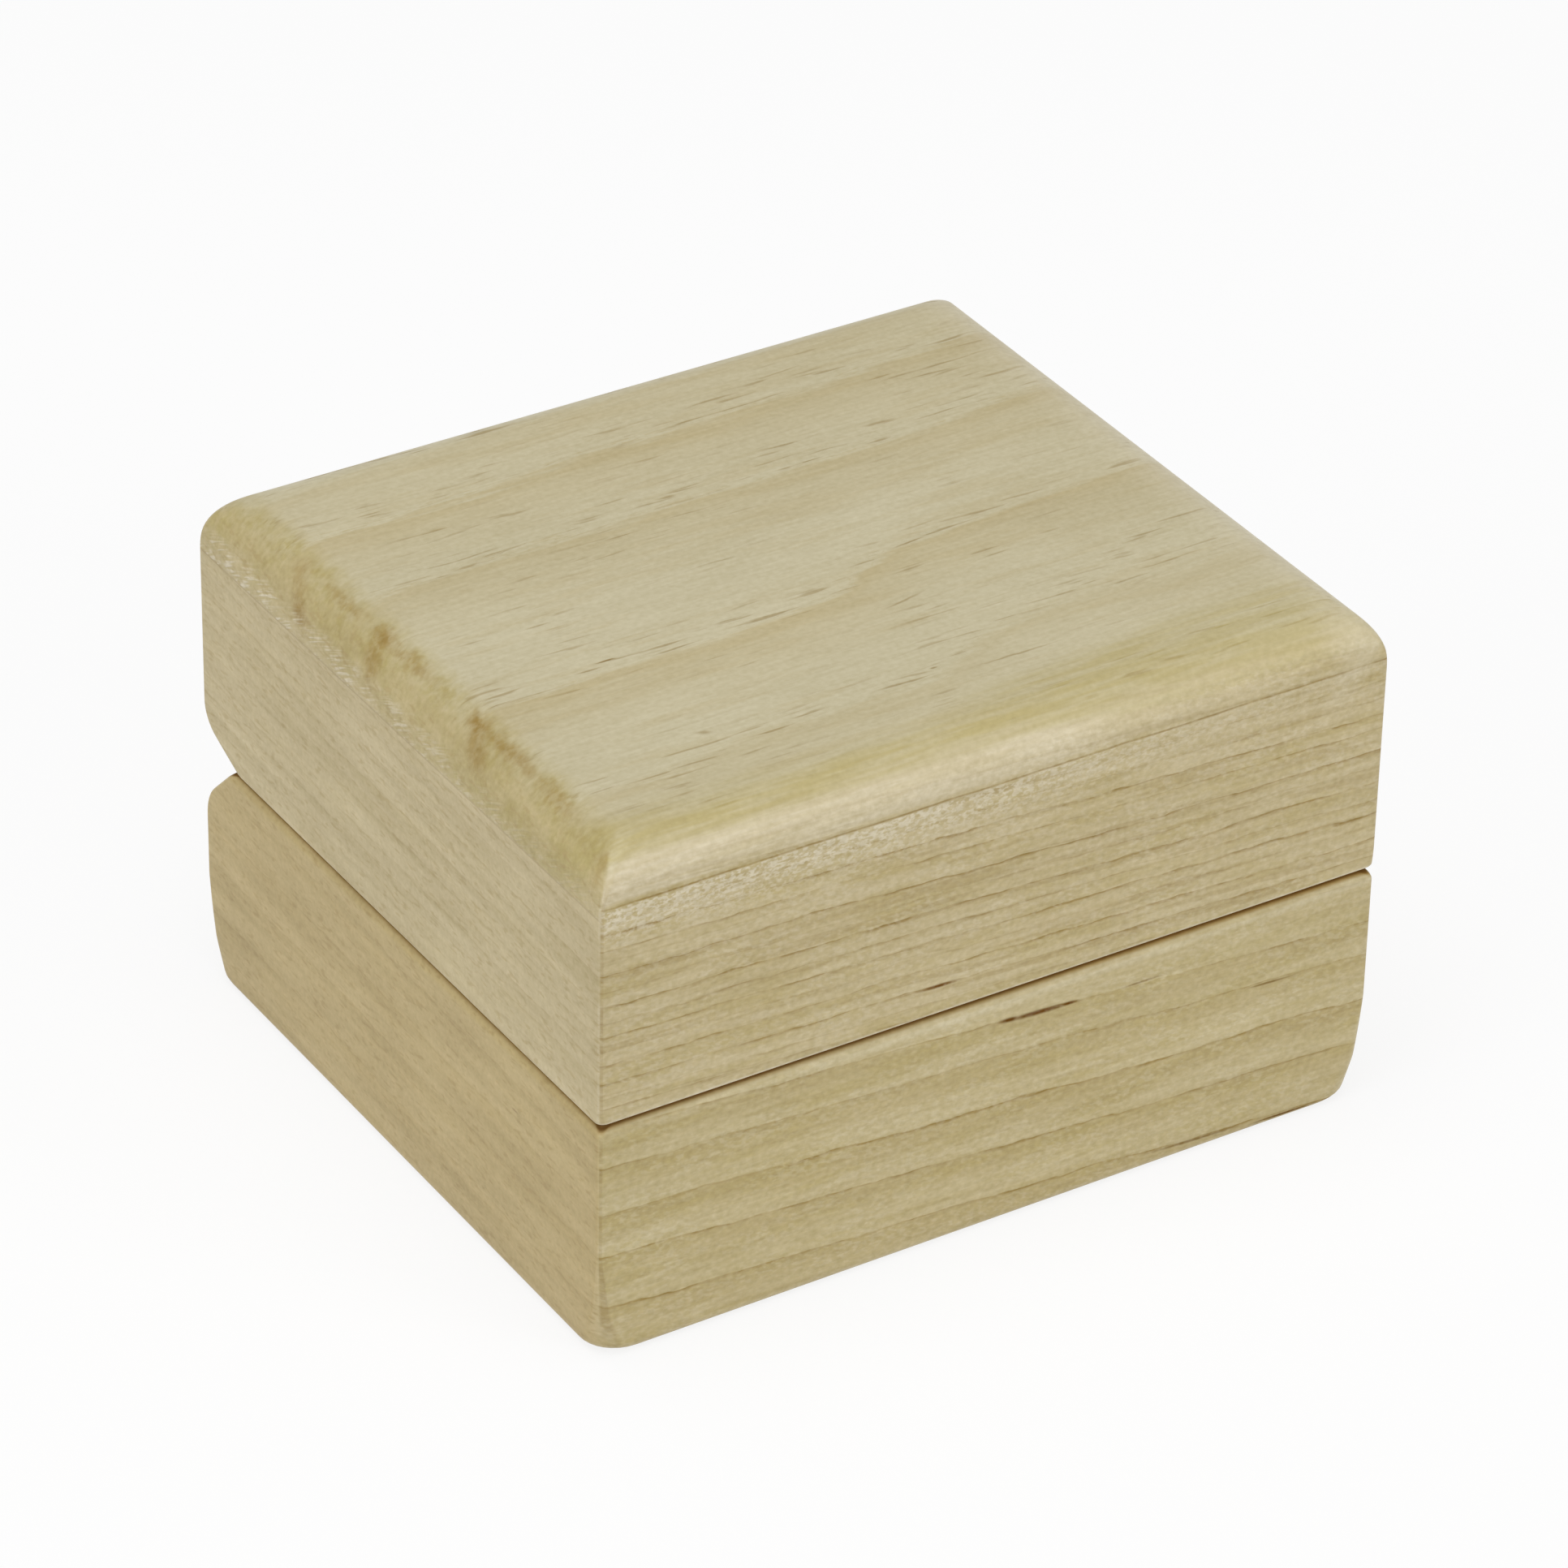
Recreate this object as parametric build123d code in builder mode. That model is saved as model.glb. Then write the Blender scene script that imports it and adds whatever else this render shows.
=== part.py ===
"""A small hinged jewelry box: two hollowed blocks of wood, lined and padded inside.

Lengths are in millimetres. The origin is the middle of the underside, +X runs to the right along the
front, +Y towards the hinges at the back, and +Z up. The lid is drawn closed.
"""

import math
import os

from build123d import *

# Outside of the two blocks
box_width = 70.0
box_depth = 61.5
base_height = 21.5
lid_height = 23.5
lid_roundover = 4.0
lid_rim_ease = 0.4
base_rim_ease = 1.0
base_bottom_ease = 1.0
base_belly_height = 9.5
base_belly_inset = 0.25
corner_ease = 0.55
base_foot_corner = 2.8
base_knee_height = 3.8
base_knee_corner = 1.2

# Relief that runs along the back of the seam and makes room for the hinges
lid_relief_depth = 6.2
lid_relief_rise = 2.8
lid_relief_round = 2.75
base_relief_depth = 4.6
base_relief_rise = 4.5
base_relief_round = 4.0

# Hollows in the blocks
side_wall = 8.0
front_wall = 8.0
back_wall = 11.5
pocket_corner = 5.0
base_floor = 5.5
lid_ceiling = 9.5

# Hinges
hinge_inset = 9.0
hinge_length = 16.0
axis_setback = 2.5
leaf_reach = 7.8
leaf_thickness = 0.8
leaf_corner = 0.8
leaf_seam_gap = 0.05
knuckle_radius = 1.3
lid_knuckle_length = 6.0
knuckle_end_gap = 0.15
knuckle_swing_gap = 0.2
pin_radius = 0.6
pin_seat_gap = 0.02
pin_running_gap = 0.05
mortise_gap = 0.1

# Screws in the hinge leaves
screw_spacing = 9.0
screw_edge_distance = 2.6
screw_head_radius = 1.2
screw_shank_radius = 0.7
screw_length = 5.5
screw_tip = 1.0
screw_gap = 0.04
countersink_angle = 90

# Magnets in the front rims
magnet_inset = 15.0
magnet_radius = 2.5
magnet_thickness = 2.0
magnet_recess = 0.1
magnet_gap = 0.05

# Cloth-covered boards
lining_thickness = 0.9
lining_setback = 1.2
card_thickness = 1.0
glue_gap = 0.1

# Ring cushions in the base and pad in the lid
cushion_gap = 0.4
ring_slot = 0.6
cushion_side = 6.0
cushion_crown = 3.5
cushion_bulge = 0.5
pad_side = 2.0
pad_crown = 2.2
pad_bulge = 0.3

# Degrees round a cushion's end at which its sections are drawn, and how much of its height the end loses
end_turns = (80, 55, 28, 4)
end_drop_share = 0.45

# Reach of every cut past the face that it opens
overrun = 1.0

# Places that the pieces share
seam = base_height
lid_top = base_height + lid_height
left_x = -box_width / 2
front_y = -box_depth / 2
back_y = box_depth / 2
pocket_width = box_width - 2 * side_wall
pocket_depth = box_depth - front_wall - back_wall
pocket_y = (front_wall - back_wall) / 2
axis_y = back_y - axis_setback
leaf_front_y = axis_y - leaf_reach
leaf_root_y = axis_y - knuckle_radius - knuckle_swing_gap
hinge_x = box_width / 2 - hinge_inset - hinge_length / 2
hinge_places = {"left": -hinge_x, "right": hinge_x}
magnet_x = box_width / 2 - magnet_inset
magnet_y = front_y + front_wall / 2
magnet_places = [(-magnet_x, magnet_y), (magnet_x, magnet_y)]
lined_width = pocket_width - 2 * (glue_gap + lining_thickness)
lined_depth = pocket_depth - 2 * (glue_gap + lining_thickness)
lined_corner = pocket_corner - glue_gap - lining_thickness
lid_ceiling_z = lid_top - lid_ceiling
upward = 1
downward = -1


def relieved_corner(direction):
    """The back corner at the seam, bevelled and eased for the hinges, from the rim to the back face."""
    depth = lid_relief_depth if direction == upward else base_relief_depth
    rise = lid_relief_rise if direction == upward else base_relief_rise
    bend = lid_relief_round if direction == upward else base_relief_round
    reach = bend * math.tan(math.atan2(depth, rise) / 2)
    reach_share = reach / math.hypot(depth, rise)
    foot = (back_y - depth, seam)
    bend_start = (back_y - depth * reach_share, seam + direction * rise * (1 - reach_share))
    bend_end = (back_y, seam + direction * (rise + reach))
    Line((0, seam), foot)
    Line(foot, bend_start)
    TangentArc(bend_start, bend_end, tangent=(depth, direction * rise))
    return bend_end


def lid_rim(side, edge):
    """The lid's eased rim on one side, from the middle of the seam to the wall."""
    wall_foot = (side * edge, seam + lid_rim_ease)
    Line((0, seam), (side * (edge - lid_rim_ease), seam))
    TangentArc((side * (edge - lid_rim_ease), seam), wall_foot, tangent=(side, 0))
    return wall_foot


def lid_wall(side, edge, wall_foot):
    """The lid's wall and round-over on one side, up to the middle of the top."""
    shoulder = (side * edge, lid_top - lid_roundover)
    crown = (side * (edge - lid_roundover), lid_top)
    Line(wall_foot, shoulder)
    TangentArc(shoulder, crown, tangent=(0, 1))
    Line(crown, (0, lid_top))


def base_rim(side, edge):
    """The base's eased rim on one side, from the middle of the seam to the wall."""
    wall_head = (side * edge, seam - base_rim_ease)
    Line((0, seam), (side * (edge - base_rim_ease), seam))
    TangentArc((side * (edge - base_rim_ease), seam), wall_head, tangent=(side, 0))
    return wall_head


def base_wall(side, edge, wall_head):
    """The base's wall on one side, drawn in below its belly and eased into the underside."""
    toe = edge - base_belly_inset
    sole = (side * (toe - base_bottom_ease), 0)
    Line(wall_head, (side * edge, base_belly_height))
    belly = TangentArc((side * edge, base_belly_height), (side * toe, base_bottom_ease), tangent=(0, -1))
    TangentArc(belly @ 1, sole, tangent=belly % 1)
    Line(sole, (0, 0))


def front_outline(rim, wall):
    """Outline of a block seen from the front, alike on both sides."""
    edge = box_width / 2
    with BuildSketch() as outline:
        with BuildLine():
            for side in (-1, 1):
                wall(side, edge, rim(side, edge))
        make_face()
    return outline.sketch


def side_outline(rim, wall, direction):
    """Outline of a block seen from its side, relieved at the back."""
    edge = box_depth / 2
    with BuildSketch() as outline:
        with BuildLine():
            wall(-1, edge, rim(-1, edge))
            wall(1, edge, relieved_corner(direction))
        make_face()
    return outline.sketch


def mortise_section():
    """Plan of the shallow mortises that the hinge leaves lie in, open towards the back."""
    front = leaf_front_y - mortise_gap
    length = back_y + overrun - front
    with BuildSketch() as section:
        for place in hinge_places.values():
            with Locations((place, front + length / 2)):
                Rectangle(hinge_length + 2 * mortise_gap, length)
    return section.sketch


def screw_spots():
    """Where the screws of both hinges stand, in plan."""
    y = leaf_front_y + screw_edge_distance
    shifts = (-screw_spacing / 2, screw_spacing / 2)
    return [(place + shift, y) for place in hinge_places.values() for shift in shifts]


def screw_planes(direction):
    """A plane at each screw's head, facing out of the leaf: the lid's screws go up, the base's go down."""
    height = seam + direction * leaf_seam_gap
    return [Plane((x, y, height), z_dir=(0, 0, -direction)) for x, y in screw_spots()]


def wood_screw():
    """One countersunk screw, its head at the origin and its point along -Z."""
    cone = screw_head_radius - screw_shank_radius
    with BuildPart() as screw:
        with BuildSketch(Plane.XZ):
            with BuildLine():
                Polyline(
                    (0, 0),
                    (screw_head_radius, 0),
                    (screw_shank_radius, -cone),
                    (screw_shank_radius, -screw_length + screw_tip),
                    (0, -screw_length),
                    close=True,
                )
            make_face()
        revolve(axis=Axis.Z)
    return screw.part


def knuckle_spans(direction):
    """Middle and length of each knuckle along its hinge: one on the lid's leaf, two on the base's."""
    if direction == upward:
        return [(0, lid_knuckle_length)]
    length = (hinge_length - lid_knuckle_length) / 2 - knuckle_end_gap
    shift = (hinge_length - length) / 2
    return [(-shift, length), (shift, length)]


def hinge_leaf(place, direction):
    """A hinge leaf with its knuckles, lying against the seam on the lid's side or the base's."""
    bore = pin_radius + (pin_running_gap if direction == upward else pin_seat_gap)
    low = seam + leaf_seam_gap if direction == upward else seam - leaf_seam_gap - leaf_thickness
    with BuildPart() as leaf:
        with BuildSketch(Plane.XY.offset(low)) as plate:
            with Locations((place, (leaf_front_y + leaf_root_y) / 2)):
                Rectangle(hinge_length, leaf_root_y - leaf_front_y)
            fillet(plate.vertices().group_by(Axis.Y)[0], leaf_corner)
            for shift, length in knuckle_spans(direction):
                with Locations((place + shift, (leaf_root_y + axis_y) / 2)):
                    Rectangle(length, axis_y - leaf_root_y)
        extrude(amount=leaf_thickness)
        for shift, length in knuckle_spans(direction):
            with BuildSketch(Plane.YZ.offset(place + shift - length / 2)):
                with Locations((axis_y, seam)):
                    Circle(knuckle_radius)
            extrude(amount=length)
        with BuildSketch(Plane.YZ.offset(place - hinge_length / 2)):
            with Locations((axis_y, seam)):
                Circle(bore)
        extrude(amount=hinge_length, mode=Mode.SUBTRACT)
        own_planes = [plane for plane in screw_planes(direction) if plane.origin.X * place > 0]
        with Locations(*own_planes):
            CounterSinkHole(
                screw_shank_radius + screw_gap,
                screw_head_radius + screw_gap,
                depth=leaf_thickness,
                counter_sink_angle=countersink_angle,
            )
    return leaf.part


def hinge_pin(place):
    """The steel pin that runs through a hinge's knuckles."""
    with BuildPart() as pin:
        with BuildSketch(Plane.YZ.offset(place - hinge_length / 2)):
            with Locations((axis_y, seam)):
                Circle(pin_radius)
        extrude(amount=hinge_length)
    return pin.part


def magnet_discs(low):
    """The two disc magnets of one half, standing on the given height."""
    with BuildPart() as discs:
        with BuildSketch(Plane.XY.offset(low)):
            with Locations(*magnet_places):
                Circle(magnet_radius)
        extrude(amount=magnet_thickness)
    return discs.part


def wall_lining(low, high):
    """A covered board that runs round the inside of a hollow."""
    width = pocket_width - 2 * glue_gap
    depth = pocket_depth - 2 * glue_gap
    with BuildPart() as lining:
        with BuildSketch(Plane.XY.offset(low)):
            with Locations((0, pocket_y)):
                RectangleRounded(width, depth, pocket_corner - glue_gap)
                RectangleRounded(lined_width, lined_depth, lined_corner, mode=Mode.SUBTRACT)
        extrude(amount=high - low)
    return lining.part


def lined_card(low):
    """A card that fits inside a wall lining."""
    width = lined_width - 2 * glue_gap
    depth = lined_depth - 2 * glue_gap
    with BuildPart() as card:
        with BuildSketch(Plane.XY.offset(low)):
            with Locations((0, pocket_y)):
                RectangleRounded(width, depth, lined_corner - glue_gap)
        extrude(amount=card_thickness)
    return card.part


def padded_roll(width, middle_y, seat_z, direction, side, crown, bulge):
    """A cushion along X: flat on its seat, bulged at its sides, crowned, and drawn in round its ends."""
    straight = lined_width / 2 - cushion_gap - lined_corner
    turns = [-angle for angle in end_turns] + [0] + list(reversed(end_turns))
    with BuildPart() as roll:
        for turn in turns:
            lean = math.cos(math.radians(turn))
            x = math.copysign(straight, turn) + lined_corner * math.sin(math.radians(turn)) if turn else 0
            half = width / 2 - lined_corner * (1 - lean)
            fullness = 1 - end_drop_share * (1 - lean)
            shoulder = seat_z + direction * side * fullness
            waist = (seat_z + shoulder) / 2
            peak = shoulder + direction * crown * fullness
            near = middle_y - half + bulge
            far = middle_y + half - bulge
            with BuildSketch(Plane.YZ.offset(x)):
                with BuildLine():
                    Line((near, seat_z), (far, seat_z))
                    ThreePointArc((far, seat_z), (middle_y + half, waist), (far, shoulder))
                    ThreePointArc((far, shoulder), (middle_y, peak), (near, shoulder))
                    ThreePointArc((near, shoulder), (middle_y - half, waist), (near, seat_z))
                make_face()
        loft(ruled=True)
    return roll.part


def save(piece, name):
    """Label a finished piece and write it under its name."""
    piece.label = name
    export_step(piece, f"parts/{name}.step")
    print(f"{name}: {len(piece.solids())} solids, {piece.volume:.1f} cubic mm")


os.makedirs("parts", exist_ok=True)

# Base block: plan, front and side outlines crossed, then hollowed and cut for hinges and magnets
with BuildPart() as base_block:
    for height, corner in (
        (0, base_foot_corner),
        (base_knee_height, base_knee_corner),
        (base_belly_height, corner_ease),
    ):
        with BuildSketch(Plane.XY.offset(height)):
            RectangleRounded(box_width, box_depth, corner)
    loft(ruled=True)
    with BuildSketch(Plane.XY.offset(base_belly_height)):
        RectangleRounded(box_width, box_depth, corner_ease)
    extrude(amount=seam - base_belly_height)
    with BuildSketch(Plane.XZ.offset(front_y)):
        add(front_outline(base_rim, base_wall))
    extrude(amount=box_depth, mode=Mode.INTERSECT)
    with BuildSketch(Plane.YZ.offset(left_x)):
        add(side_outline(base_rim, base_wall, downward))
    extrude(amount=box_width, mode=Mode.INTERSECT)
    with BuildSketch(Plane.XY.offset(base_floor)):
        with Locations((0, pocket_y)):
            RectangleRounded(pocket_width, pocket_depth, pocket_corner)
    extrude(amount=seam - base_floor + overrun, mode=Mode.SUBTRACT)
    with BuildSketch(Plane.XY.offset(seam - leaf_seam_gap - leaf_thickness)):
        add(mortise_section())
    extrude(amount=leaf_seam_gap + leaf_thickness + overrun, mode=Mode.SUBTRACT)
    with BuildSketch(Plane.XY.offset(seam - magnet_recess - magnet_thickness)):
        with Locations(*magnet_places):
            Circle(magnet_radius + magnet_gap)
    extrude(amount=magnet_recess + magnet_thickness + overrun, mode=Mode.SUBTRACT)
    with Locations(*screw_planes(downward)):
        Hole(screw_shank_radius + screw_gap, depth=screw_length + screw_gap)
save(base_block.part, "base_block")

# Lid block: made the same way, with the round-over along its top edges
with BuildPart() as lid_block:
    with BuildSketch(Plane.XY.offset(seam)):
        RectangleRounded(box_width, box_depth, corner_ease)
    extrude(amount=lid_height)
    with BuildSketch(Plane.XZ.offset(front_y)):
        add(front_outline(lid_rim, lid_wall))
    extrude(amount=box_depth, mode=Mode.INTERSECT)
    with BuildSketch(Plane.YZ.offset(left_x)):
        add(side_outline(lid_rim, lid_wall, upward))
    extrude(amount=box_width, mode=Mode.INTERSECT)
    with BuildSketch(Plane.XY.offset(seam - overrun)):
        with Locations((0, pocket_y)):
            RectangleRounded(pocket_width, pocket_depth, pocket_corner)
    extrude(amount=lid_ceiling_z - seam + overrun, mode=Mode.SUBTRACT)
    with BuildSketch(Plane.XY.offset(seam - overrun)):
        add(mortise_section())
    extrude(amount=leaf_seam_gap + leaf_thickness + overrun, mode=Mode.SUBTRACT)
    with BuildSketch(Plane.XY.offset(seam - overrun)):
        with Locations(*magnet_places):
            Circle(magnet_radius + magnet_gap)
    extrude(amount=magnet_recess + magnet_thickness + overrun, mode=Mode.SUBTRACT)
    with Locations(*screw_planes(upward)):
        Hole(screw_shank_radius + screw_gap, depth=screw_length + screw_gap)
save(lid_block.part, "lid_block")

# Hinges, a pair, with their pins and screws
for hand, place in hinge_places.items():
    save(hinge_leaf(place, downward), f"hinge_{hand}_base_leaf")
    save(hinge_leaf(place, upward), f"hinge_{hand}_lid_leaf")
    save(hinge_pin(place), f"hinge_{hand}_pin")

with BuildPart() as hinge_base_screws:
    with Locations(*screw_planes(downward)):
        add(wood_screw())
save(hinge_base_screws.part, "hinge_base_screws")

with BuildPart() as hinge_lid_screws:
    with Locations(*screw_planes(upward)):
        add(wood_screw())
save(hinge_lid_screws.part, "hinge_lid_screws")

# Magnets that hold the lid shut
save(magnet_discs(seam - magnet_recess - magnet_thickness), "base_magnets")
save(magnet_discs(seam + magnet_recess), "lid_magnets")

# Covered boards inside each half
save(wall_lining(base_floor, seam - lining_setback), "base_wall_lining")
save(wall_lining(seam + lining_setback, lid_ceiling_z), "lid_wall_lining")
save(lined_card(base_floor), "base_floor_card")
save(lined_card(lid_ceiling_z - card_thickness), "lid_pad_card")

# Soft pieces: two rolls that grip a ring between them, and the pad above
roll_width = (lined_depth - 2 * cushion_gap - ring_slot) / 2
roll_shift = (roll_width + ring_slot) / 2
roll_seat = base_floor + card_thickness
roll_form = (roll_seat, upward, cushion_side, cushion_crown, cushion_bulge)
save(padded_roll(roll_width, pocket_y - roll_shift, *roll_form), "ring_cushion_front")
save(padded_roll(roll_width, pocket_y + roll_shift, *roll_form), "ring_cushion_rear")

pad_width = lined_depth - 2 * cushion_gap
pad_form = (lid_ceiling_z - card_thickness, downward, pad_side, pad_crown, pad_bulge)
save(padded_roll(pad_width, pocket_y, *pad_form), "lid_pad")
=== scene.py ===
# %% [markdown]
# # A small hinged jewelry box of pale wood
#
# The box is two hollowed blocks of pale, close-grained wood that meet at a seam half way up. Two brass
# butt hinges join them in a relief along the back, and the inside is lined and padded for a ring.
#
# The construction already exists as solids at their real size. This lesson dresses it: the wood gets
# finer skins and a solid grain, the cloth is simulated, and the small metal pieces get soft edges. Every
# object is in metres, with +X to the right along the front, +Y towards the hinges and +Z up.

# %% Load the solids
import math

import bmesh
import bpy
from mathutils import Matrix, Vector


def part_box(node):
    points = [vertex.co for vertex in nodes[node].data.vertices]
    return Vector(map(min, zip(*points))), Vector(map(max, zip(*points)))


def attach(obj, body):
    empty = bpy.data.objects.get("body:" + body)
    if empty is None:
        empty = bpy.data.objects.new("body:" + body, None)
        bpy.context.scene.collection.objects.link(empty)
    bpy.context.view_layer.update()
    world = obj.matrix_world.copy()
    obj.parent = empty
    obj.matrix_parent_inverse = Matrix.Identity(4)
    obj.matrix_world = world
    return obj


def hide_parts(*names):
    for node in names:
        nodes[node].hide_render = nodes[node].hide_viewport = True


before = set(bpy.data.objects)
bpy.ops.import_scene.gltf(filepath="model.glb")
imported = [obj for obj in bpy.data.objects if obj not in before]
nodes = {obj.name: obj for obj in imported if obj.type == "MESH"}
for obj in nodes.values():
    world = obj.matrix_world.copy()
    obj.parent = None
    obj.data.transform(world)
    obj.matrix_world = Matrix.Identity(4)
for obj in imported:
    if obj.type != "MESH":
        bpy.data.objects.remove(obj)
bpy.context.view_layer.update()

mm = 0.001

# %% [markdown]
# ## The camera
#
# The box is seen from its front left corner and from above, through a long lens, so its edges hardly
# converge. The camera stands at a point, looks at another point inside the box, and is rolled by about a
# degree.

# %% Camera
camera_place = Vector((-263.37, -414.03, 335.38)) * mm
camera_target = Vector((1.39, 2.13, 22.0)) * mm
camera_roll = math.radians(1.2)
camera_lens = 170.33
camera_sensor = 36.0
camera_near = 0.01


def aimed(place, target):
    """The matrix of a thing that stands at a place and points its -Z axis at a target."""
    turn = (target - place).to_track_quat("-Z", "Y").to_matrix().to_4x4()
    return Matrix.Translation(place) @ turn


def add_camera():
    """A camera at camera_place that looks at camera_target."""
    data = bpy.data.cameras.new("camera")
    data.lens = camera_lens
    data.sensor_width = camera_sensor
    data.clip_start = camera_near
    camera = bpy.data.objects.new("camera", data)
    bpy.context.scene.collection.objects.link(camera)
    camera.matrix_world = aimed(camera_place, camera_target) @ Matrix.Rotation(camera_roll, 4, "Z")
    bpy.context.scene.camera = camera


add_camera()
print("camera stands", round((camera_place - camera_target).length, 3), "m away")

# %% [markdown]
# ## Helpers for shader nodes
#
# A procedural finish is a small graph of nodes. A Value stands for one output of a node. Adding,
# multiplying or easing Values adds the nodes that do so, and hands back another Value, so that the
# finishes further down read as sums. A noise is given by the sizes of its grains in millimetres, its
# detail, its roughness, and a shift that makes it differ from the other noises.


# %% Shader helpers
class Value:
    """One output of a node, to be used in sums."""

    def __init__(self, socket):
        self.socket = socket
        self.tree = socket.id_data

    def __add__(self, other):
        return calc("ADD", self, other)

    def __sub__(self, other):
        return calc("SUBTRACT", self, other)

    def __rsub__(self, other):
        return calc("SUBTRACT", other, self)

    def __mul__(self, other):
        return calc("MULTIPLY", self, other)

    def __abs__(self):
        return calc("ABSOLUTE", self)

    def ease(self, low, high, start=0.0, end=1.0):
        """Goes smoothly from start to end while this value goes from low to high."""
        node = self.tree.nodes.new("ShaderNodeMapRange")
        node.interpolation_type = "SMOOTHSTEP"
        fill(node, Value=self, From_Min=low, From_Max=high, To_Min=start, To_Max=end)
        return Value(node.outputs["Result"])

    def fade(self, low, high):
        """Goes smoothly from 1 to 0 while this value goes from low to high."""
        return self.ease(low, high, 1.0, 0.0)

    def blend(self, start, end):
        """Goes smoothly from start to end while this value goes from 0 to 1."""
        return self.ease(0.0, 1.0, start, end)

    def parts(self):
        """The three parts of a vector."""
        node = self.tree.nodes.new("ShaderNodeSeparateXYZ")
        feed(node.inputs[0], self)
        return [Value(part) for part in node.outputs]

    def speckle(self, sizes, detail, roughness, shift):
        """Soft noise at a place."""
        node = self.tree.nodes.new("ShaderNodeTexNoise")
        spot = calc_vector("ADD", calc_vector("DIVIDE", self, sizes), (shift, shift, shift))
        fill(node, Vector=spot, Scale=1.0, Detail=detail, Roughness=roughness)
        return Value(node.outputs[0])

    def sway(self, sizes, amount, shift):
        """Soft noise at a place that swings by amount to either side of nothing."""
        return (self.speckle(sizes, 2.0, 0.5, shift) - 0.5) * (4.0 * amount)


def feed(socket, value):
    """Link an output into a socket, or set a plain value on it."""
    if isinstance(value, Value):
        value = value.socket
    if isinstance(value, bpy.types.NodeSocket):
        socket.id_data.links.new(value, socket)
    else:
        socket.default_value = value


def fill(node, **inputs):
    """Feed a node's inputs by name, spaces written as underscores."""
    for label, value in inputs.items():
        feed(node.inputs[label.replace("_", " ")], value)


def graph_of(values):
    """The graph that the first Value belongs to."""
    return next(value.tree for value in values if isinstance(value, Value))


def new_value(kind, values, operation=None, output=0):
    """An output of a new node that takes the values in order."""
    node = graph_of(values).nodes.new(f"ShaderNode{kind}")
    if operation:
        node.operation = operation
    for socket, value in zip(node.inputs, values):
        feed(socket, value)
    return Value(node.outputs[output])


def calc(operation, *values):
    """One sum on numbers."""
    return new_value("Math", values, operation)


def largest(first, *others):
    """The largest of several numbers."""
    for other in others:
        first = calc("MAXIMUM", first, other)
    return first


def calc_vector(operation, *values):
    """One sum on vectors."""
    return new_value("VectorMath", values, operation, "Value" if operation == "LENGTH" else "Vector")


def joined(*parts):
    """A vector from two or three numbers."""
    return new_value("CombineXYZ", parts)


def tint(factor, first, second, mode="MIX"):
    """Two colours mixed by a factor."""
    node = graph_of((factor, first, second)).nodes.new("ShaderNodeMix")
    node.data_type = "RGBA"
    node.blend_type = mode
    for index, value in zip((0, 6, 7), (factor, first, second)):
        feed(node.inputs[index], value)
    return Value(node.outputs[2])


def rgb(red, green, blue):
    """A colour in linear light."""
    return (red, green, blue, 1.0)


def empty_graph(owner, kind):
    """The emptied graph of a material or world, and the socket that takes its surface."""
    owner.use_nodes = True
    tree = owner.node_tree
    tree.nodes.clear()
    return tree, tree.nodes.new(f"ShaderNodeOutput{kind}").inputs["Surface"]


def new_finish(name):
    """A material with its shader and, in millimetres, the place on the piece."""
    material = bpy.data.materials.new(name)
    tree, surface = empty_graph(material, "Material")
    shader = tree.nodes.new("ShaderNodeBsdfPrincipled")
    feed(surface, shader.outputs["BSDF"])
    coordinates = tree.nodes.new("ShaderNodeTexCoord")
    return material, shader, calc_vector("DIVIDE", Value(coordinates.outputs["Object"]), (mm, mm, mm))


def raise_surface(shader, height, depth):
    """Let a height from 0 to 1 tilt the shading, as if the surface stood up by depth millimetres."""
    bump = shader.id_data.nodes.new("ShaderNodeBump")
    fill(bump, Height=height, Strength=1.0, Distance=depth * mm)
    feed(shader.inputs["Normal"], bump.outputs["Normal"])


print("shader helpers ready")

# %% [markdown]
# ## The wood
#
# The grain of a block of wood is a solid pattern: growth rings are sheets in the block, and each face
# shows where it cuts them. The sheets lie nearly flat here, so the front shows thin brown lines, the ends
# show end grain, and the top, which is nearly parallel to a sheet, shows wide soft bands. A solid pattern
# runs over the edges by itself, which no wrapped picture does.
#
# Rings are never evenly spaced: every year has its own width. So the rings are a short list of heights, a
# calendar, kept in a colour ramp. Looked up with the height above the tilted sheet, the ramp says how far
# it is to the next ring line, and how strong that line is. Wood darkens slowly towards the end of a year
# and starts pale again, which gives each line one soft side and one sharp side.

# %% Growth rings
front_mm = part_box("lid_block")[0].y / mm
block_half_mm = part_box("lid_block")[1].x / mm
seam_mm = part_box("base_block")[1].z / mm
ramp_step = 0.0002


def calendar(height, rings, low, high, reach):
    """Distance up to the next ring line, that ring's strength, and the distance from the line below."""
    node = height.tree.nodes.new("ShaderNodeValToRGB")
    stops = node.color_ramp.elements
    last = low
    marks = []
    for ring, strength in rings:
        marks.append((last, 1 - (ring - last) / reach, strength, 0.0))
        marks.append((ring, 1.0, strength, (ring - last) / reach))
        last = ring
    marks.append((last, 0.0, 0.0, 0.0))
    for index, (place, closeness, strength, age) in enumerate(marks):
        position = (place - low) / (high - low) + ramp_step * (index % 2 == 0)
        stop = stops[index] if index < 2 else stops.new(position)
        stop.position = position
        stop.color = (closeness, strength, age, 1.0)
    feed(node.inputs[0], calc("DIVIDE", height - low, high - low))
    parts = height.tree.nodes.new("ShaderNodeSeparateColor")
    feed(parts.inputs[0], node.outputs["Color"])
    closeness, strength, age = [Value(part) for part in parts.outputs]
    return (1.0 - closeness) * reach, strength, age * reach


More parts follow.
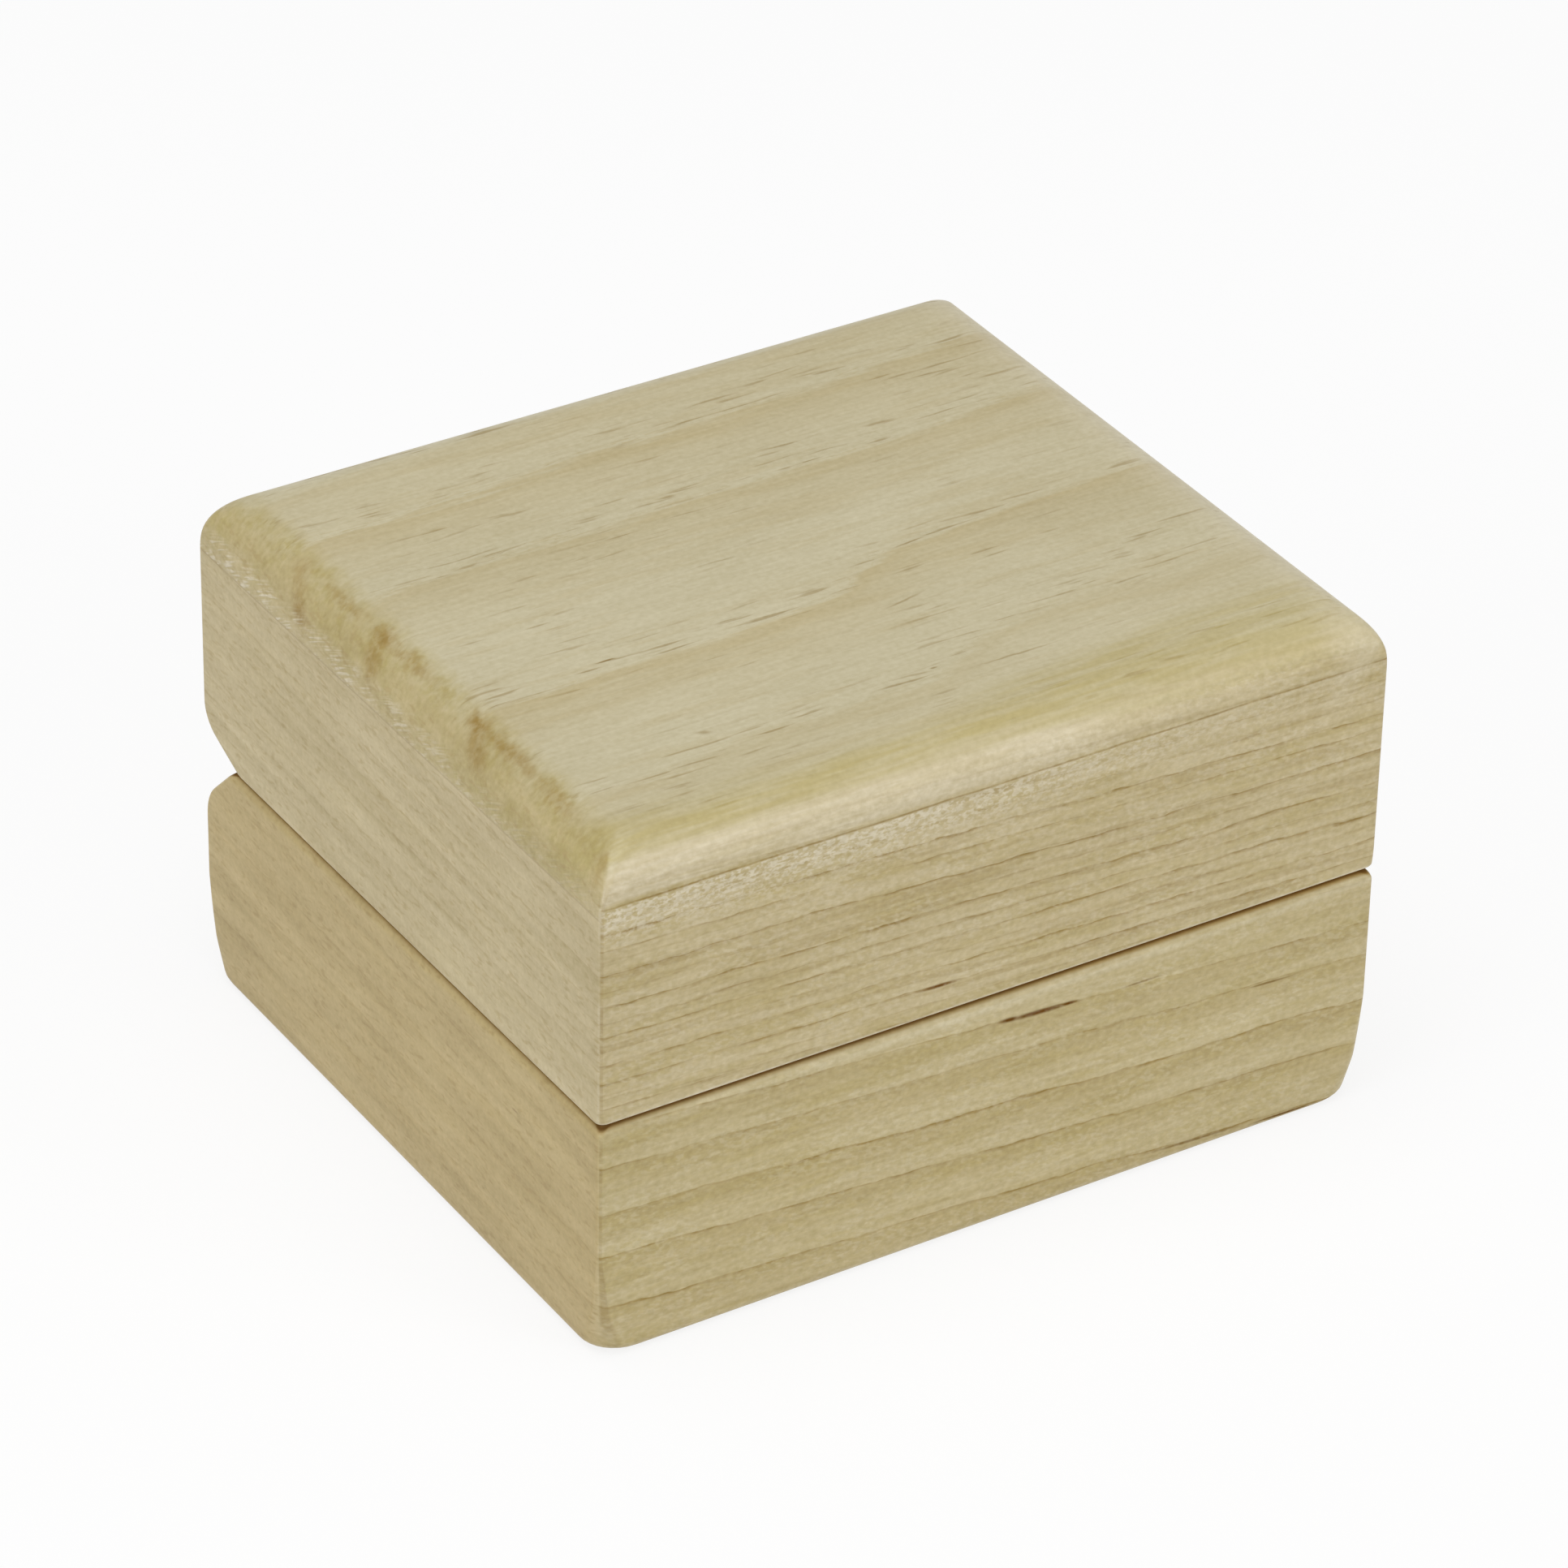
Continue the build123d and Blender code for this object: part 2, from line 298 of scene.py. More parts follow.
def strokes(flat_place, dashes):
    """The strongest of several soft dashes on a flat place, each 1 in its middle times its own strength."""
    whole = 0.0
    for across, along, half_length, half_width, turn, strength in dashes:
        node = flat_place.tree.nodes.new("ShaderNodeMapping")
        node.vector_type = "TEXTURE"
        fill(node, Vector=flat_place, Location=(across, along, 0.0), Rotation=(0.0, 0.0, math.radians(turn)))
        fill(node, Scale=(half_length, half_width, 1.0))
        dash = calc_vector("LENGTH", Value(node.outputs[0])).fade(0.15, 1.0)
        whole = calc("MAXIMUM", dash * strength, whole)
    return whole


print("front face at", round(front_mm, 2), "mm")

# %% [markdown]
# The same layers serve both blocks. What differs is the look: where the rings lie, how their sheets are
# tilted, and how wide and how strong their late wood, their lines and the fine lines between them are.
# The base is also a warmer piece of wood. Over the rings lie pale ray flecks that show on the front,
# small nicks on the end grain, fine fibre, grit and slow clouds. A satin finish reflects the lights, but
# a dark mark is a rough place in the wood, so it is left matt, as is the shade painted along the crease
# and into the seam.

# %% Wood
early_pale = rgb(0.505, 0.417, 0.228)
late_tan = rgb(0.400, 0.305, 0.120)
patch_gold = rgb(0.400, 0.310, 0.105)
line_brown = rgb(0.215, 0.122, 0.026)
pore_brown = rgb(0.260, 0.175, 0.066)
# Pale for ray flecks, bleached wood and scratches, and for the painted highlights.
ray_and_highlight_white = rgb(0.665, 0.600, 0.450)
nick_gold = rgb(0.385, 0.285, 0.112)
fine_tan = rgb(0.330, 0.235, 0.075)
top_tone_and_sheen_grey = rgb(0.520, 0.468, 0.305)
flaw_brown = rgb(0.135, 0.055, 0.010)
# Colours of the painted shade in the seam and on the rim below it, partly a brown stain.
seam_shade_brown = rgb(0.160, 0.068, 0.013)
lip_shade_brown = rgb(0.430, 0.235, 0.045)
shade_pull = (0.88, 1.0, 1.45)
wood_roughness = 0.43
wood_relief = 0.03
ring_reach = 8.0
ring_waves = (((45.0, 25.0, 14.0), 0.35, 1.0), ((11.0, 6.0, 6.0), 0.19, 2.0), ((2.2, 1.4, 0.9), 0.11, 3.0))
ray_slant = 0.18
end_grain_lean = 0.03


def ring_layers(place, facing, look):
    """Colour of the growth rings, how upright a face is, how much it is an end, and the ring lines."""
    x, y, z = place.parts()
    side, _, up = facing.parts()
    shift = look["shift"]
    height = z - (y - front_mm) * look["rise_back"] - x * look["rise_right"]
    for sizes, amount, step in ring_waves:
        height = height + place.sway(sizes, amount, shift + step)
    distance, strength, _ = calendar(height, look["rings"], look["low"], look["high"], ring_reach)

    upright = up.fade(0.25, 0.85)
    end = abs(side).ease(0.5, 0.95)
    late = distance.fade(0.0, look["late_width"]) * strength * upright * end.blend(look["late"], 0.22)
    broken = place.speckle((3.6, 1.0, 0.6), 2.0, 0.6, shift + 4.0).ease(0.40, 0.60, 0.30, 1.0)
    swell = place.speckle((5.0, 1.6, 0.9), 2.0, 0.6, shift + 15.0).ease(0.34, 0.66, 0.60, 1.35)
    line = distance.fade(0.0, swell * look["line_width"]) * strength * broken * upright
    line = line * end.blend(look["line"], 0.22)
    fine = joined(x, y, height).speckle((22.0, 8.0, 0.62), 1.0, 0.5, shift + 14.0).ease(0.54, 0.66)
    patches = place.speckle((14.0, 10.0, 1.9), 3.0, 0.6, shift + 5.0).ease(0.42, 0.68)
    colour = tint(late, early_pale, late_tan)
    colour = tint(patches * upright * end.blend(0.55, 0.16), colour, patch_gold)
    colour = tint(fine * upright * end.blend(look["fine"], 0.10), colour, fine_tan)
    return tint(line, colour, line_brown), upright, end, line


def fine_layers(place, colour, upright, end, look):
    """Ray flecks, mottled end grain, fibre, grit and clouds over the rings."""
    x, y, z = place.parts()
    shift = look["shift"]
    ray = joined(x, y, z + x * ray_slant).speckle((0.62, 0.5, 0.30), 1.0, 0.55, shift + 6.0).ease(0.42, 0.66)
    zone = place.speckle((9.0, 6.0, 2.2), 1.0, 0.5, shift + 7.0).ease(0.34, 0.66, 0.35, 1.0)
    colour = tint(ray * zone * upright * end.blend(0.22, 0.02), colour, ray_and_highlight_white)

    leaning = joined(x, y, z - y * end_grain_lean)
    mottle = leaning.sway((2.0, 0.8, 0.60), 0.04, shift + 8.0) * end
    faint = leaning.sway((6.0, 18.0, 1.50), 0.13, shift + 13.0) * end
    nick = leaning.speckle((4.0, 1.1, 0.34), 1.0, 0.5, shift + 12.0).ease(0.54, 0.74)
    colour = tint(nick * end * 0.60, colour, nick_gold)
    fibre = place.sway((5.0, 0.34, 0.34), 1.0, shift + 9.0) * upright.blend(0.05, end.blend(0.07, 0.045))
    grit = place.sway((0.56, 0.46, 0.42), 1.0, shift + 10.0) * upright.blend(0.075, end.blend(0.12, 0.07))
    cloud = place.sway((26.0, 10.0, 7.0), 0.05, shift + 11.0)
    swing = mottle + faint + fibre + grit + cloud
    shade = place.tree.nodes.new("ShaderNodeCombineColor")
    for socket, pull in zip(shade.inputs, shade_pull):
        feed(socket, swing * pull + 1.0)
    return tint(1.0, colour, shade.outputs[0], "MULTIPLY"), fibre


def finish_wood(shader, colour, relief, dark):
    """Join the colour, a satin gloss that dark marks lack, and a fine relief to the shader."""
    gloss = dark.ease(0.0, 0.5, 0.5, 0.0)
    fill(shader, Base_Color=colour, Roughness=wood_roughness, Specular_IOR_Level=gloss)
    raise_surface(shader, relief, wood_relief)


def corner_highlight_and_shade(place, facing, colour):
    """A painted highlight and painted shade along the sanded front left corner: pale on its left side, brown
    on its front side.
    """
    side, ahead, up = facing.parts()
    corner_breakup = up.fade(0.15, 0.45) * place.speckle((3.0, 3.0, 2.4), 2.0, 0.6, 16.0).ease(0.36, 0.64, 0.35, 1.0)
    # Painted highlight on the left side of the rounded corner, painted shade on its front side.
    painted_corner_highlight = side.fade(-0.80, -0.60) * ahead.ease(-0.12, -0.35)
    painted_corner_shade = ahead.fade(-0.80, -0.60) * side.ease(-0.10, -0.30)
    colour = tint(painted_corner_highlight * corner_breakup * 0.35, colour, ray_and_highlight_white)
    return tint(painted_corner_shade * corner_breakup * 0.32, colour, line_brown)


def read_facing(place):
    """The direction that the resting block's skin faces, stored on its mesh."""
    node = place.tree.nodes.new("ShaderNodeAttribute")
    node.attribute_name = "facing"
    return Value(node.outputs["Vector"])


print("wood layers ready")

# %% [markdown]
# The lid is cut so that its top nearly follows a ring. Each band on the top is sharp on the side towards
# the hinges and fades towards the front. A yellow layer comes out along the front round-over, and the
# sanded ends of the lid show olive end grain with brown arches, where rings leave the block. A few dark
# dashes lie where they do on the box.
#
# A dash is one row of a list: its place across and along the face, its half length and half width, its
# turn in degrees, and its strength.

# %% Places of the lid's marks
lid_look = {
    "rings": (
        (21.9, 0.6), (22.9, 0.4), (24.4, 1.0), (25.9, 0.8), (27.2, 0.45), (28.3, 0.8), (29.6, 0.7),
        (31.0, 0.9), (32.4, 0.5), (33.8, 1.0), (35.9, 0.8), (37.3, 0.9), (38.8, 0.45), (40.3, 0.4),
        (43.6, 0.3),
    ),
    "low": 18.0,
    "high": 49.0,
    "rise_back": 0.02,
    "rise_right": -0.04,
    "late_width": 1.2,
    "late": 0.48,
    "line_width": 0.34,
    "line": 0.68,
    "fine": 0.36,
    "shift": 0.0,
}
top_bands = ((-21.7, 0.35), (-7.4, 0.85), (10.6, 0.70), (20.6, 0.85), (27.5, 0.4))
top_low = -32.0
top_high = 34.0
top_reach = 24.0
top_lean = 0.03
top_crest = 4.2
top_waves = (((30.0, 12.0, 9.0), 0.9, 21.0), ((14.0, 1.3, 3.0), 0.55, 22.0), ((6.0, 0.5, 1.0), 0.60, 23.0))
top_dashes = (
    (-20.5, -7.1, 1.3, 0.15, -3, 0.95),
    (-19.4, -19.4, 0.9, 0.40, -25, 0.40),
    (3.6, -10.9, 2.7, 0.20, 11, 0.45),
    (8.6, -3.8, 2.1, 0.17, 5, 0.60),
    (16.6, -2.7, 2.7, 0.15, 3, 0.40),
    (6.6, -21.7, 5.2, 0.18, -1, 0.45),
    (0.2, -20.3, 0.5, 0.18, 0, 0.60),
    (7.0, 22.8, 3.6, 0.22, 2, 0.45),
    (16.5, 13.1, 2.0, 0.30, -5, 0.40),
    (-22.6, 10.1, 1.6, 0.25, 4, 0.40),
    (-4.0, 11.5, 1.1, 0.28, 0, 0.45),
    (-9.5, -6.7, 1.8, 0.15, 0, 0.40),
)
lid_front_dashes = ((-5.4, 24.3, 2.4, 0.24, -2, 0.95),)
brown_arches = (
    (17.4, 6.4, 1.8, 1.8, 0, 0.50),
    (16.2, 4.4, 3.6, 1.6, 58, 0.50),
    (14.9, 2.6, 2.6, 1.5, 40, 0.85),
    (11.0, 6.9, 5.0, 1.3, 0, 0.45),
    (5.0, 6.5, 2.2, 1.9, 0, 0.85),
    (4.6, 4.2, 3.9, 1.7, 72, 0.70),
    (0.8, 6.8, 5.4, 1.4, 0, 0.55),
    (-9.2, 6.7, 2.3, 1.9, 0, 0.95),
    (-13.6, 6.8, 6.6, 1.5, 0, 0.70),
    (-10.6, 4.7, 4.1, 1.8, 50, 0.72),
    (-20.5, 6.7, 5.0, 1.4, 0, 0.50),
    (-28.9, 5.0, 1.2, 4.2, 0, 0.42),
)
print("marks on the lid:", len(top_dashes) + len(lid_front_dashes) + len(brown_arches))

# %% Lid wood
olive = rgb(0.382, 0.307, 0.108)
arch_brown = rgb(0.300, 0.195, 0.050)
layer_yellow = rgb(0.430, 0.355, 0.148)
front_roundover_mm = 41.0
front_crease_mm = 40.72
end_crease_mm = 39.9


def top_layers(place, colour, up):
    """Bands and pores on the top of the lid."""
    x, y, _ = place.parts()
    flat = up.ease(0.55, 0.95)
    crest = x.ease(-2.0, 9.0) * y.ease(2.0, -4.0)
    band = y - x * top_lean - crest * top_crest
    for sizes, amount, shift in top_waves:
        band = band + place.sway(sizes, amount, shift)
    distance, strength, beyond = calendar(band, top_bands, top_low, top_high, top_reach)
    onset = distance.ease(0.0, 1.0) * strength * flat
    streak = place.speckle((13.0, 1.5, 1.2), 3.0, 0.6, 27.0).ease(0.46, 0.70)
    # The top is paler and greyer than the faces: partly the wood's own tone across the rings, partly a
    # painted sheen.
    colour = tint(flat * 0.85, colour, top_tone_and_sheen_grey)
    for width in (10.0, 3.0):
        colour = tint(distance.fade(0.0, width) * onset * 0.40, colour, late_tan)
    colour = tint(streak * flat * 0.24, colour, late_tan)
    crowd = place.speckle((16.0, 4.5, 3.0), 1.0, 0.5, 24.0).ease(0.48, 0.66, 0.12, 0.8)
    crowd = largest(crowd, beyond.ease(0.5, 4.5, 0.9, 0.0))
    dash = place.speckle((4.6, 0.44, 0.50), 1.0, 0.4, 25.0).ease(0.57, 0.74)
    pores = dash * crowd * flat * 0.54
    wander = joined(x, y + place.sway((1.6, 1.6, 1.6), 0.10, 26.0))
    placed = strokes(wander, top_dashes) * flat
    colour = tint(pores, colour, pore_brown)
    return tint(placed, colour, pore_brown), largest(pores, placed)


def front_roundover_layers(place, facing, mitre, colour):
    """The yellow layer, and a painted highlight band along the front round-over of the lid."""
    x, y, z = place.parts()
    _, ahead, up = facing.parts()
    run = z - front_roundover_mm + (y - front_mm)
    run = run + place.sway((16.0, 2.0, 2.0), 0.5, 31.0) + place.sway((6.0, 0.5, 0.5), 0.5, 36.0)
    rising = (run - x.ease(0.0, 30.0, 3.0, 0.3)).ease(0.0, 1.4)
    fading = (run - x.ease(-12.0, 28.0, 8.8, 12.5)).fade(-2.8, 1.3)
    streaks = place.speckle((9.0, 0.8, 0.8), 2.0, 0.6, 37.0).ease(0.35, 0.65, 0.40, 1.0)
    yellow = rising * fading * up.ease(0.05, 0.25) * streaks
    colour = tint(yellow * x.ease(0.0, 30.0, 0.95, 0.70), colour, layer_yellow)
    # A painted highlight: a pale, streaky band where the round-over faces the front right panel.
    painted_sheen_band = up.ease(0.0, 0.08) * up.fade(0.55, 0.90) * ahead.fade(-0.60, -0.20)
    painted_sheen_band = painted_sheen_band * mitre.ease(0.3, -0.3) * x.fade(-6.0, 30.0)
    sheen_streaks = place.speckle((9.0, 0.45, 0.45), 2.0, 0.6, 42.0).ease(0.36, 0.66, 0.62, 1.0)
    return tint(painted_sheen_band * sheen_streaks * 0.46, colour, ray_and_highlight_white)


def front_face_layers(place, ahead, colour):
    """A thin brown line of painted shade along the crease under the front round-over, with bleached wood
    below it.
    """
    x, _, z = place.parts()
    frontal = ahead.fade(-0.9, -0.5)
    below = front_crease_mm - z + place.sway((6.0, 6.0, 6.0), 0.06, 40.0)
    # Painted shade: a thin brown line where the round-over meets the front.
    crease_shade = abs(below).fade(0.02, 0.14) * frontal
    thread = place.speckle((3.0, 1.0, 1.0), 2.0, 0.6, 41.0).ease(0.38, 0.56, 0.40, 1.0)
    colour = tint(crease_shade * thread * 0.52, colour, line_brown)
    flecks = place.speckle((0.44, 0.5, 0.25), 1.0, 0.6, 32.0).ease(0.38, 0.64)
    bleached = below.ease(0.05, 0.20) * below.fade(0.3, 4.8) * flecks * x.ease(32.0, -12.0, 0.25, 1.0)
    return tint(bleached * frontal * 0.72, colour, ray_and_highlight_white), crease_shade


def end_roundover_layers(place, inward, mitre, colour):
    """Olive end grain with brown arches and pale scratches on the round-over of the lid's ends, with a
    painted sheen on the right end and a painted shade line at the crease.
    """
    x, y, z = place.parts()
    run = z - end_crease_mm + inward
    fuzz = place.sway((0.9, 0.9, 0.9), 0.40, 33.0)
    worn_run = run + fuzz + place.sway((4.0, 4.0, 4.0), 0.35, 34.0)
    sideways = inward.ease(5.2, 4.0) * mitre.ease(-0.25, 0.25)
    lowest = y.ease(-12.0, 6.0, 0.88, 0.42) * y.ease(-29.0, -22.0, 0.60, 1.0)
    soaked = place.speckle((3.0, 4.5, 3.0), 2.0, 0.5, 39.0).ease(0.36, 0.62, 0.50, 1.0)
    oiled = worn_run.ease(0.1, 4.6, lowest, 1.0) * worn_run.fade(6.8, 9.6) * run.ease(0.0, 0.12) * soaked
    tufts = place.speckle((0.9, 0.7, 0.7), 2.0, 0.6, 38.0).ease(0.35, 0.65, 0.55, 1.0)
    colour = tint(oiled * sideways * tufts * x.ease(0.0, -1.0, 0.06, 0.95), colour, olive)
    # Painted sheen: the right end is seen edge on, so its round-over is lightened.
    painted_grazing_sheen = inward.ease(7.0, 2.0) * run.ease(1.2, 4.0) * x.ease(0.0, 1.0)
    colour = tint(painted_grazing_sheen * 0.35, colour, ray_and_highlight_white)
    # Painted shade: a thin brown line where the round-over meets the end face.
    colour = tint(abs(run).fade(0.03, 0.14) * sideways * 0.32, colour, line_brown)
    arches = strokes(joined(y + fuzz, worn_run), brown_arches) * worn_run.fade(7.2, 9.4)
    arches = arches * sideways * x.ease(0.0, -1.0) * tufts
    colour = tint(arches, colour, arch_brown)

    # The scratches run at thirty degrees to the rim.
    slanted = joined(run * 0.5 - y * 0.87, run * 0.87 + y * 0.5)
    scratch = slanted.speckle((2.4, 0.26, 1.0), 1.0, 0.5, 35.0).ease(0.42, 0.64)
    ragged = place.speckle((1.5, 2.2, 1.2), 2.0, 0.6, 44.0).ease(0.40, 0.58, 0.15, 1.0)
    scratch = scratch * ragged * run.ease(0.0, 0.12) * run.fade(0.9, 3.4) * sideways
    colour = tint(scratch * y.ease(-22.0, 8.0, 0.15, 0.75), colour, ray_and_highlight_white)
    return colour, arches, scratch


def lid_wood_finish():
    """Wood of the lid."""
    material, shader, place = new_finish("lid_wood")
    facing = read_facing(place)
    x, y, z = place.parts()
    _, ahead, up = facing.parts()
    inward = block_half_mm - abs(x)
    mitre = y - front_mm + place.sway((0.8, 0.8, 0.8), 0.2, 43.0) - inward
    colour, upright, end, line = ring_layers(place, facing, lid_look)
    colour, pores = top_layers(place, colour, up)
    colour = front_roundover_layers(place, facing, mitre, colour)
    colour, crease_shade = front_face_layers(place, ahead, colour)
    colour, arches, scratch = end_roundover_layers(place, inward, mitre, colour)
    # A painted highlight: a pale line along the lid's lower edge just above the seam.
    painted_rim_highlight = z.fade(seam_mm + 0.35, seam_mm + 0.60) * ahead.ease(-0.2, -0.5)
    colour = tint(painted_rim_highlight * 0.62, colour, ray_and_highlight_white)
    marks = strokes(joined(x, z), lid_front_dashes) * ahead.ease(-0.5, -0.9)
    colour = corner_highlight_and_shade(place, facing, tint(marks, colour, flaw_brown))
    colour, fibre = fine_layers(place, colour, upright, end, lid_look)
    dark = largest(line, crease_shade * 0.5, arches * 0.3, marks, pores)
    finish_wood(shader, colour, fibre + scratch - pores, dark)
    return material


lid_wood = lid_wood_finish()
print("lid:", len(lid_wood.node_tree.nodes), "nodes")

# %% [markdown]
# The base comes from wider rings that fall more steeply to the right, with a dark flaw just under the
# seam. Its eased rim is painted brown where the lid covers it, as painted shade in the seam and partly a
# brown stain, and has a painted highlight just below.

# %% Base wood
base_look = {
    "rings": ((-1.5, 0.6), (2.8, 0.9), (7.6, 0.9), (11.6, 1.0), (15.9, 0.9), (19.1, 0.8), (23.0, 0.6)),
    "low": -6.0,
    "high": 27.0,
    "rise_back": 0.02,
    "rise_right": -0.065,
    "late_width": 3.4,
    "late": 0.75,
    "line_width": 0.36,
    "line": 0.62,
    "fine": 0.16,
    "shift": 40.0,
}
base_front_dashes = (
    (3.9, 18.75, 4.4, 0.34, -3, 1.00),
    (1.2, 18.95, 1.5, 0.30, -5, 1.00),
    (6.6, 18.62, 1.3, 0.24, -3, 1.00),
    (13.3, 18.3, 2.5, 0.16, -1, 0.55),
    (25.6, 14.1, 2.8, 0.16, -3, 0.60),
    (28.0, 0.7, 4.0, 0.22, -2, 0.90),
    (19.0, 1.3, 5.0, 0.20, -3, 0.55),
)
base_end_dashes = ((-18.4, 15.9, 0.7, 0.14, 0, 0.60),)
warm_wood = rgb(0.990, 0.995, 0.955)
warm_end = rgb(0.932, 0.870, 0.692)


def rim_shade_highlight_and_stain(place, facing, colour):
    """Painted shade and a brown stain along the eased rim of the base, darkest where the lid just covers it,
    and a painted highlight below.
    """
    x, y, z = place.parts()
    side, ahead, up = facing.parts()
    inward = calc("MINIMUM", block_half_mm - abs(x), y - front_mm)
    rim = z.ease(seam_mm - 1.3, seam_mm - 0.6)
    # Painted shade in the seam where the lid covers the rim, partly a brown stain.
    covered_shade_and_stain = up.ease(0.70, 0.88) * inward.fade(0.75, 1.2) * rim * 0.86
    shown = calc("MINIMUM", side, ahead).fade(-0.50, -0.20)
    # Painted warm shade on the eased rim of the faces that are seen, partly a brown stain.
    lip_shade_and_stain = up.ease(0.50, 0.82) * shown * x.ease(-20.0, 30.0, 0.40, 0.66) * rim
    # A painted highlight on the eased rim of the base just below the seam.
    painted_rim_highlight = z.ease(seam_mm - 1.5, seam_mm - 0.8) * up.ease(0.45, 0.15) * ahead.ease(-0.5, -0.9)
    colour = tint(painted_rim_highlight * x.ease(-25.0, 0.0, 0.15, 0.38), colour, ray_and_highlight_white)
    colour = tint(lip_shade_and_stain, colour, lip_shade_brown)
    return tint(covered_shade_and_stain, colour, seam_shade_brown), largest(covered_shade_and_stain, lip_shade_and_stain)


def base_wood_finish():
    """Wood of the base."""
    material, shader, place = new_finish("base_wood")
    facing = read_facing(place)
    x, y, z = place.parts()
    _, ahead, up = facing.parts()
    colour, upright, end, line = ring_layers(place, facing, base_look)
    marks = strokes(joined(x, z), base_front_dashes) * ahead.ease(-0.3, -0.9)
    colour = tint(marks, colour, flaw_brown)
    flat = up.ease(0.55, 0.95)
    streak = place.speckle((16.0, 1.9, 1.5), 3.0, 0.6, 47.0).ease(0.42, 0.68)
    colour = tint(streak * flat * 0.60, colour, late_tan)
    dash = place.speckle((4.6, 0.44, 0.50), 1.0, 0.4, 45.0).ease(0.57, 0.74)
    colour = tint(dash * flat * 0.32, colour, pore_brown)
    end_marks = strokes(joined(y, z), base_end_dashes) * x.ease(0.0, -1.0)
    colour = tint(end_marks * end, colour, line_brown)
    colour, rim_shade_and_stain = rim_shade_highlight_and_stain(place, facing, corner_highlight_and_shade(place, facing, colour))
    colour, fibre = fine_layers(place, colour, upright, end, base_look)
    colour = tint(1.0, colour, tint(end, warm_wood, warm_end), "MULTIPLY")
    finish_wood(shader, colour, fibre, largest(line, marks, rim_shade_and_stain))
    return material


base_wood = base_wood_finish()
print("base:", len(base_wood.node_tree.nodes), "nodes")

# %% [markdown]
# ## The two blocks
#
# Each block is shaped by hand on a sander, so it is crisp in some places and soft in others: the lid is
# rounded over along its top edges, a little taller at its ends than along the front, the base is eased at
# its rim, and the upright corners of the base grow rounder towards its foot. A bevel with one width can't
# say that. Instead every block is a stack of rings. A ring is the plan of the block at one height, a
# rounded rectangle with its own inset and its own corner radius, and a skin of four-sided faces joins
# each ring to the next. The rings on the inside of the hollow are counted the same way, so the flat rim
# is one more strip.

# %% Sizes of the blocks
lid_low, lid_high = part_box("lid_block")
half_width = lid_high.x
front_y = lid_low.y
back_y = lid_high.y
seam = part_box("base_block")[1].z
lid_top = lid_high.z
glue_gap = 0.1 * mm
lining_low, lining_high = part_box("base_wall_lining")
lid_hollow_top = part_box("lid_wall_lining")[1].z
pocket_half = lining_high.x + glue_gap
pocket_front = lining_low.y - glue_gap
pocket_back = lining_high.y + glue_gap
pocket_corner = 5.0 * mm
pocket_arris = 0.25 * mm

across_steps = 70
along_steps = 62
corner_steps = 8


def plan_ring(half, front, back, corner, height):
    """Points round a rounded rectangle at one height, counted alike whatever its size."""
    centres = (
        (-half + corner, front + corner, math.pi),
        (half - corner, front + corner, 1.5 * math.pi),
        (half - corner, back - corner, 0.0),
        (-half + corner, back - corner, 0.5 * math.pi),
    )
    arcs = []
    for x, y, start in centres:
        turns = [start + 0.5 * math.pi * step / corner_steps for step in range(corner_steps + 1)]
        arcs.append([Vector((x + corner * math.cos(a), y + corner * math.sin(a), height)) for a in turns])
    points = []
    for index, steps in enumerate((across_steps, along_steps, across_steps, along_steps)):
        first = arcs[index][-1]
        last = arcs[(index + 1) % len(arcs)][0]
        points += arcs[index]
        points += [first.lerp(last, step / steps) for step in range(1, steps)]
    return points


def flat_end(mesh, ring):
    """Close a ring with a grid, four side strips and four corner fans."""
    starts = [0]
    for steps in (across_steps, along_steps, across_steps):
        starts.append(starts[-1] + corner_steps + steps)
    size = len(ring)
    front = [ring[starts[0] + corner_steps + i] for i in range(across_steps + 1)]
    right = [ring[starts[1] + corner_steps + i] for i in range(along_steps + 1)]
    back = [ring[starts[2] + corner_steps + i] for i in range(across_steps + 1)][::-1]
    left = [ring[(starts[3] + corner_steps + i) % size] for i in range(along_steps + 1)][::-1]
    height = ring[0].co.z
    grid = [[mesh.verts.new((f.co.x, r.co.y, height)) for f in front] for r in right]
    for j in range(along_steps):
        for i in range(across_steps):
            mesh.faces.new((grid[j][i], grid[j][i + 1], grid[j + 1][i + 1], grid[j + 1][i]))
    for i in range(across_steps):
        mesh.faces.new((front[i], front[i + 1], grid[0][i + 1], grid[0][i]))
        mesh.faces.new((grid[-1][i], grid[-1][i + 1], back[i + 1], back[i]))
    for j in range(along_steps):
        mesh.faces.new((left[j], grid[j][0], grid[j + 1][0], left[j + 1]))
        mesh.faces.new((grid[j][-1], right[j], right[j + 1], grid[j + 1][-1]))
    for start, hub in zip(starts, (grid[0][0], grid[0][-1], grid[-1][-1], grid[-1][0])):
        for step in range(corner_steps):
            mesh.faces.new((ring[start + step], ring[start + step + 1], hub))


def link_mesh(name, mesh, material):
    """Turn a bmesh into an object at the origin."""
    bmesh.ops.recalc_face_normals(mesh, faces=mesh.faces)
    data = bpy.data.meshes.new(name)
    mesh.to_mesh(data)
    mesh.free()
    data.materials.append(material)
    piece = bpy.data.objects.new(name, data)
    bpy.context.scene.collection.objects.link(piece)
    return piece


def ring_block(name, rings, material):
    """A closed skin through a row of rings, from the far end of the block to the far end of its hollow."""
    mesh = bmesh.new()
    rows = [[mesh.verts.new(point) for point in plan_ring(*ring)] for ring in rings]
    for lower, upper in zip(rows, rows[1:]):
        for i, corner in enumerate(lower):
            j = (i + 1) % len(lower)
            mesh.faces.new((corner, lower[j], upper[j], upper[i]))
    flat_end(mesh, rows[0])
    flat_end(mesh, rows[-1])
    return link_mesh(name, mesh, material)


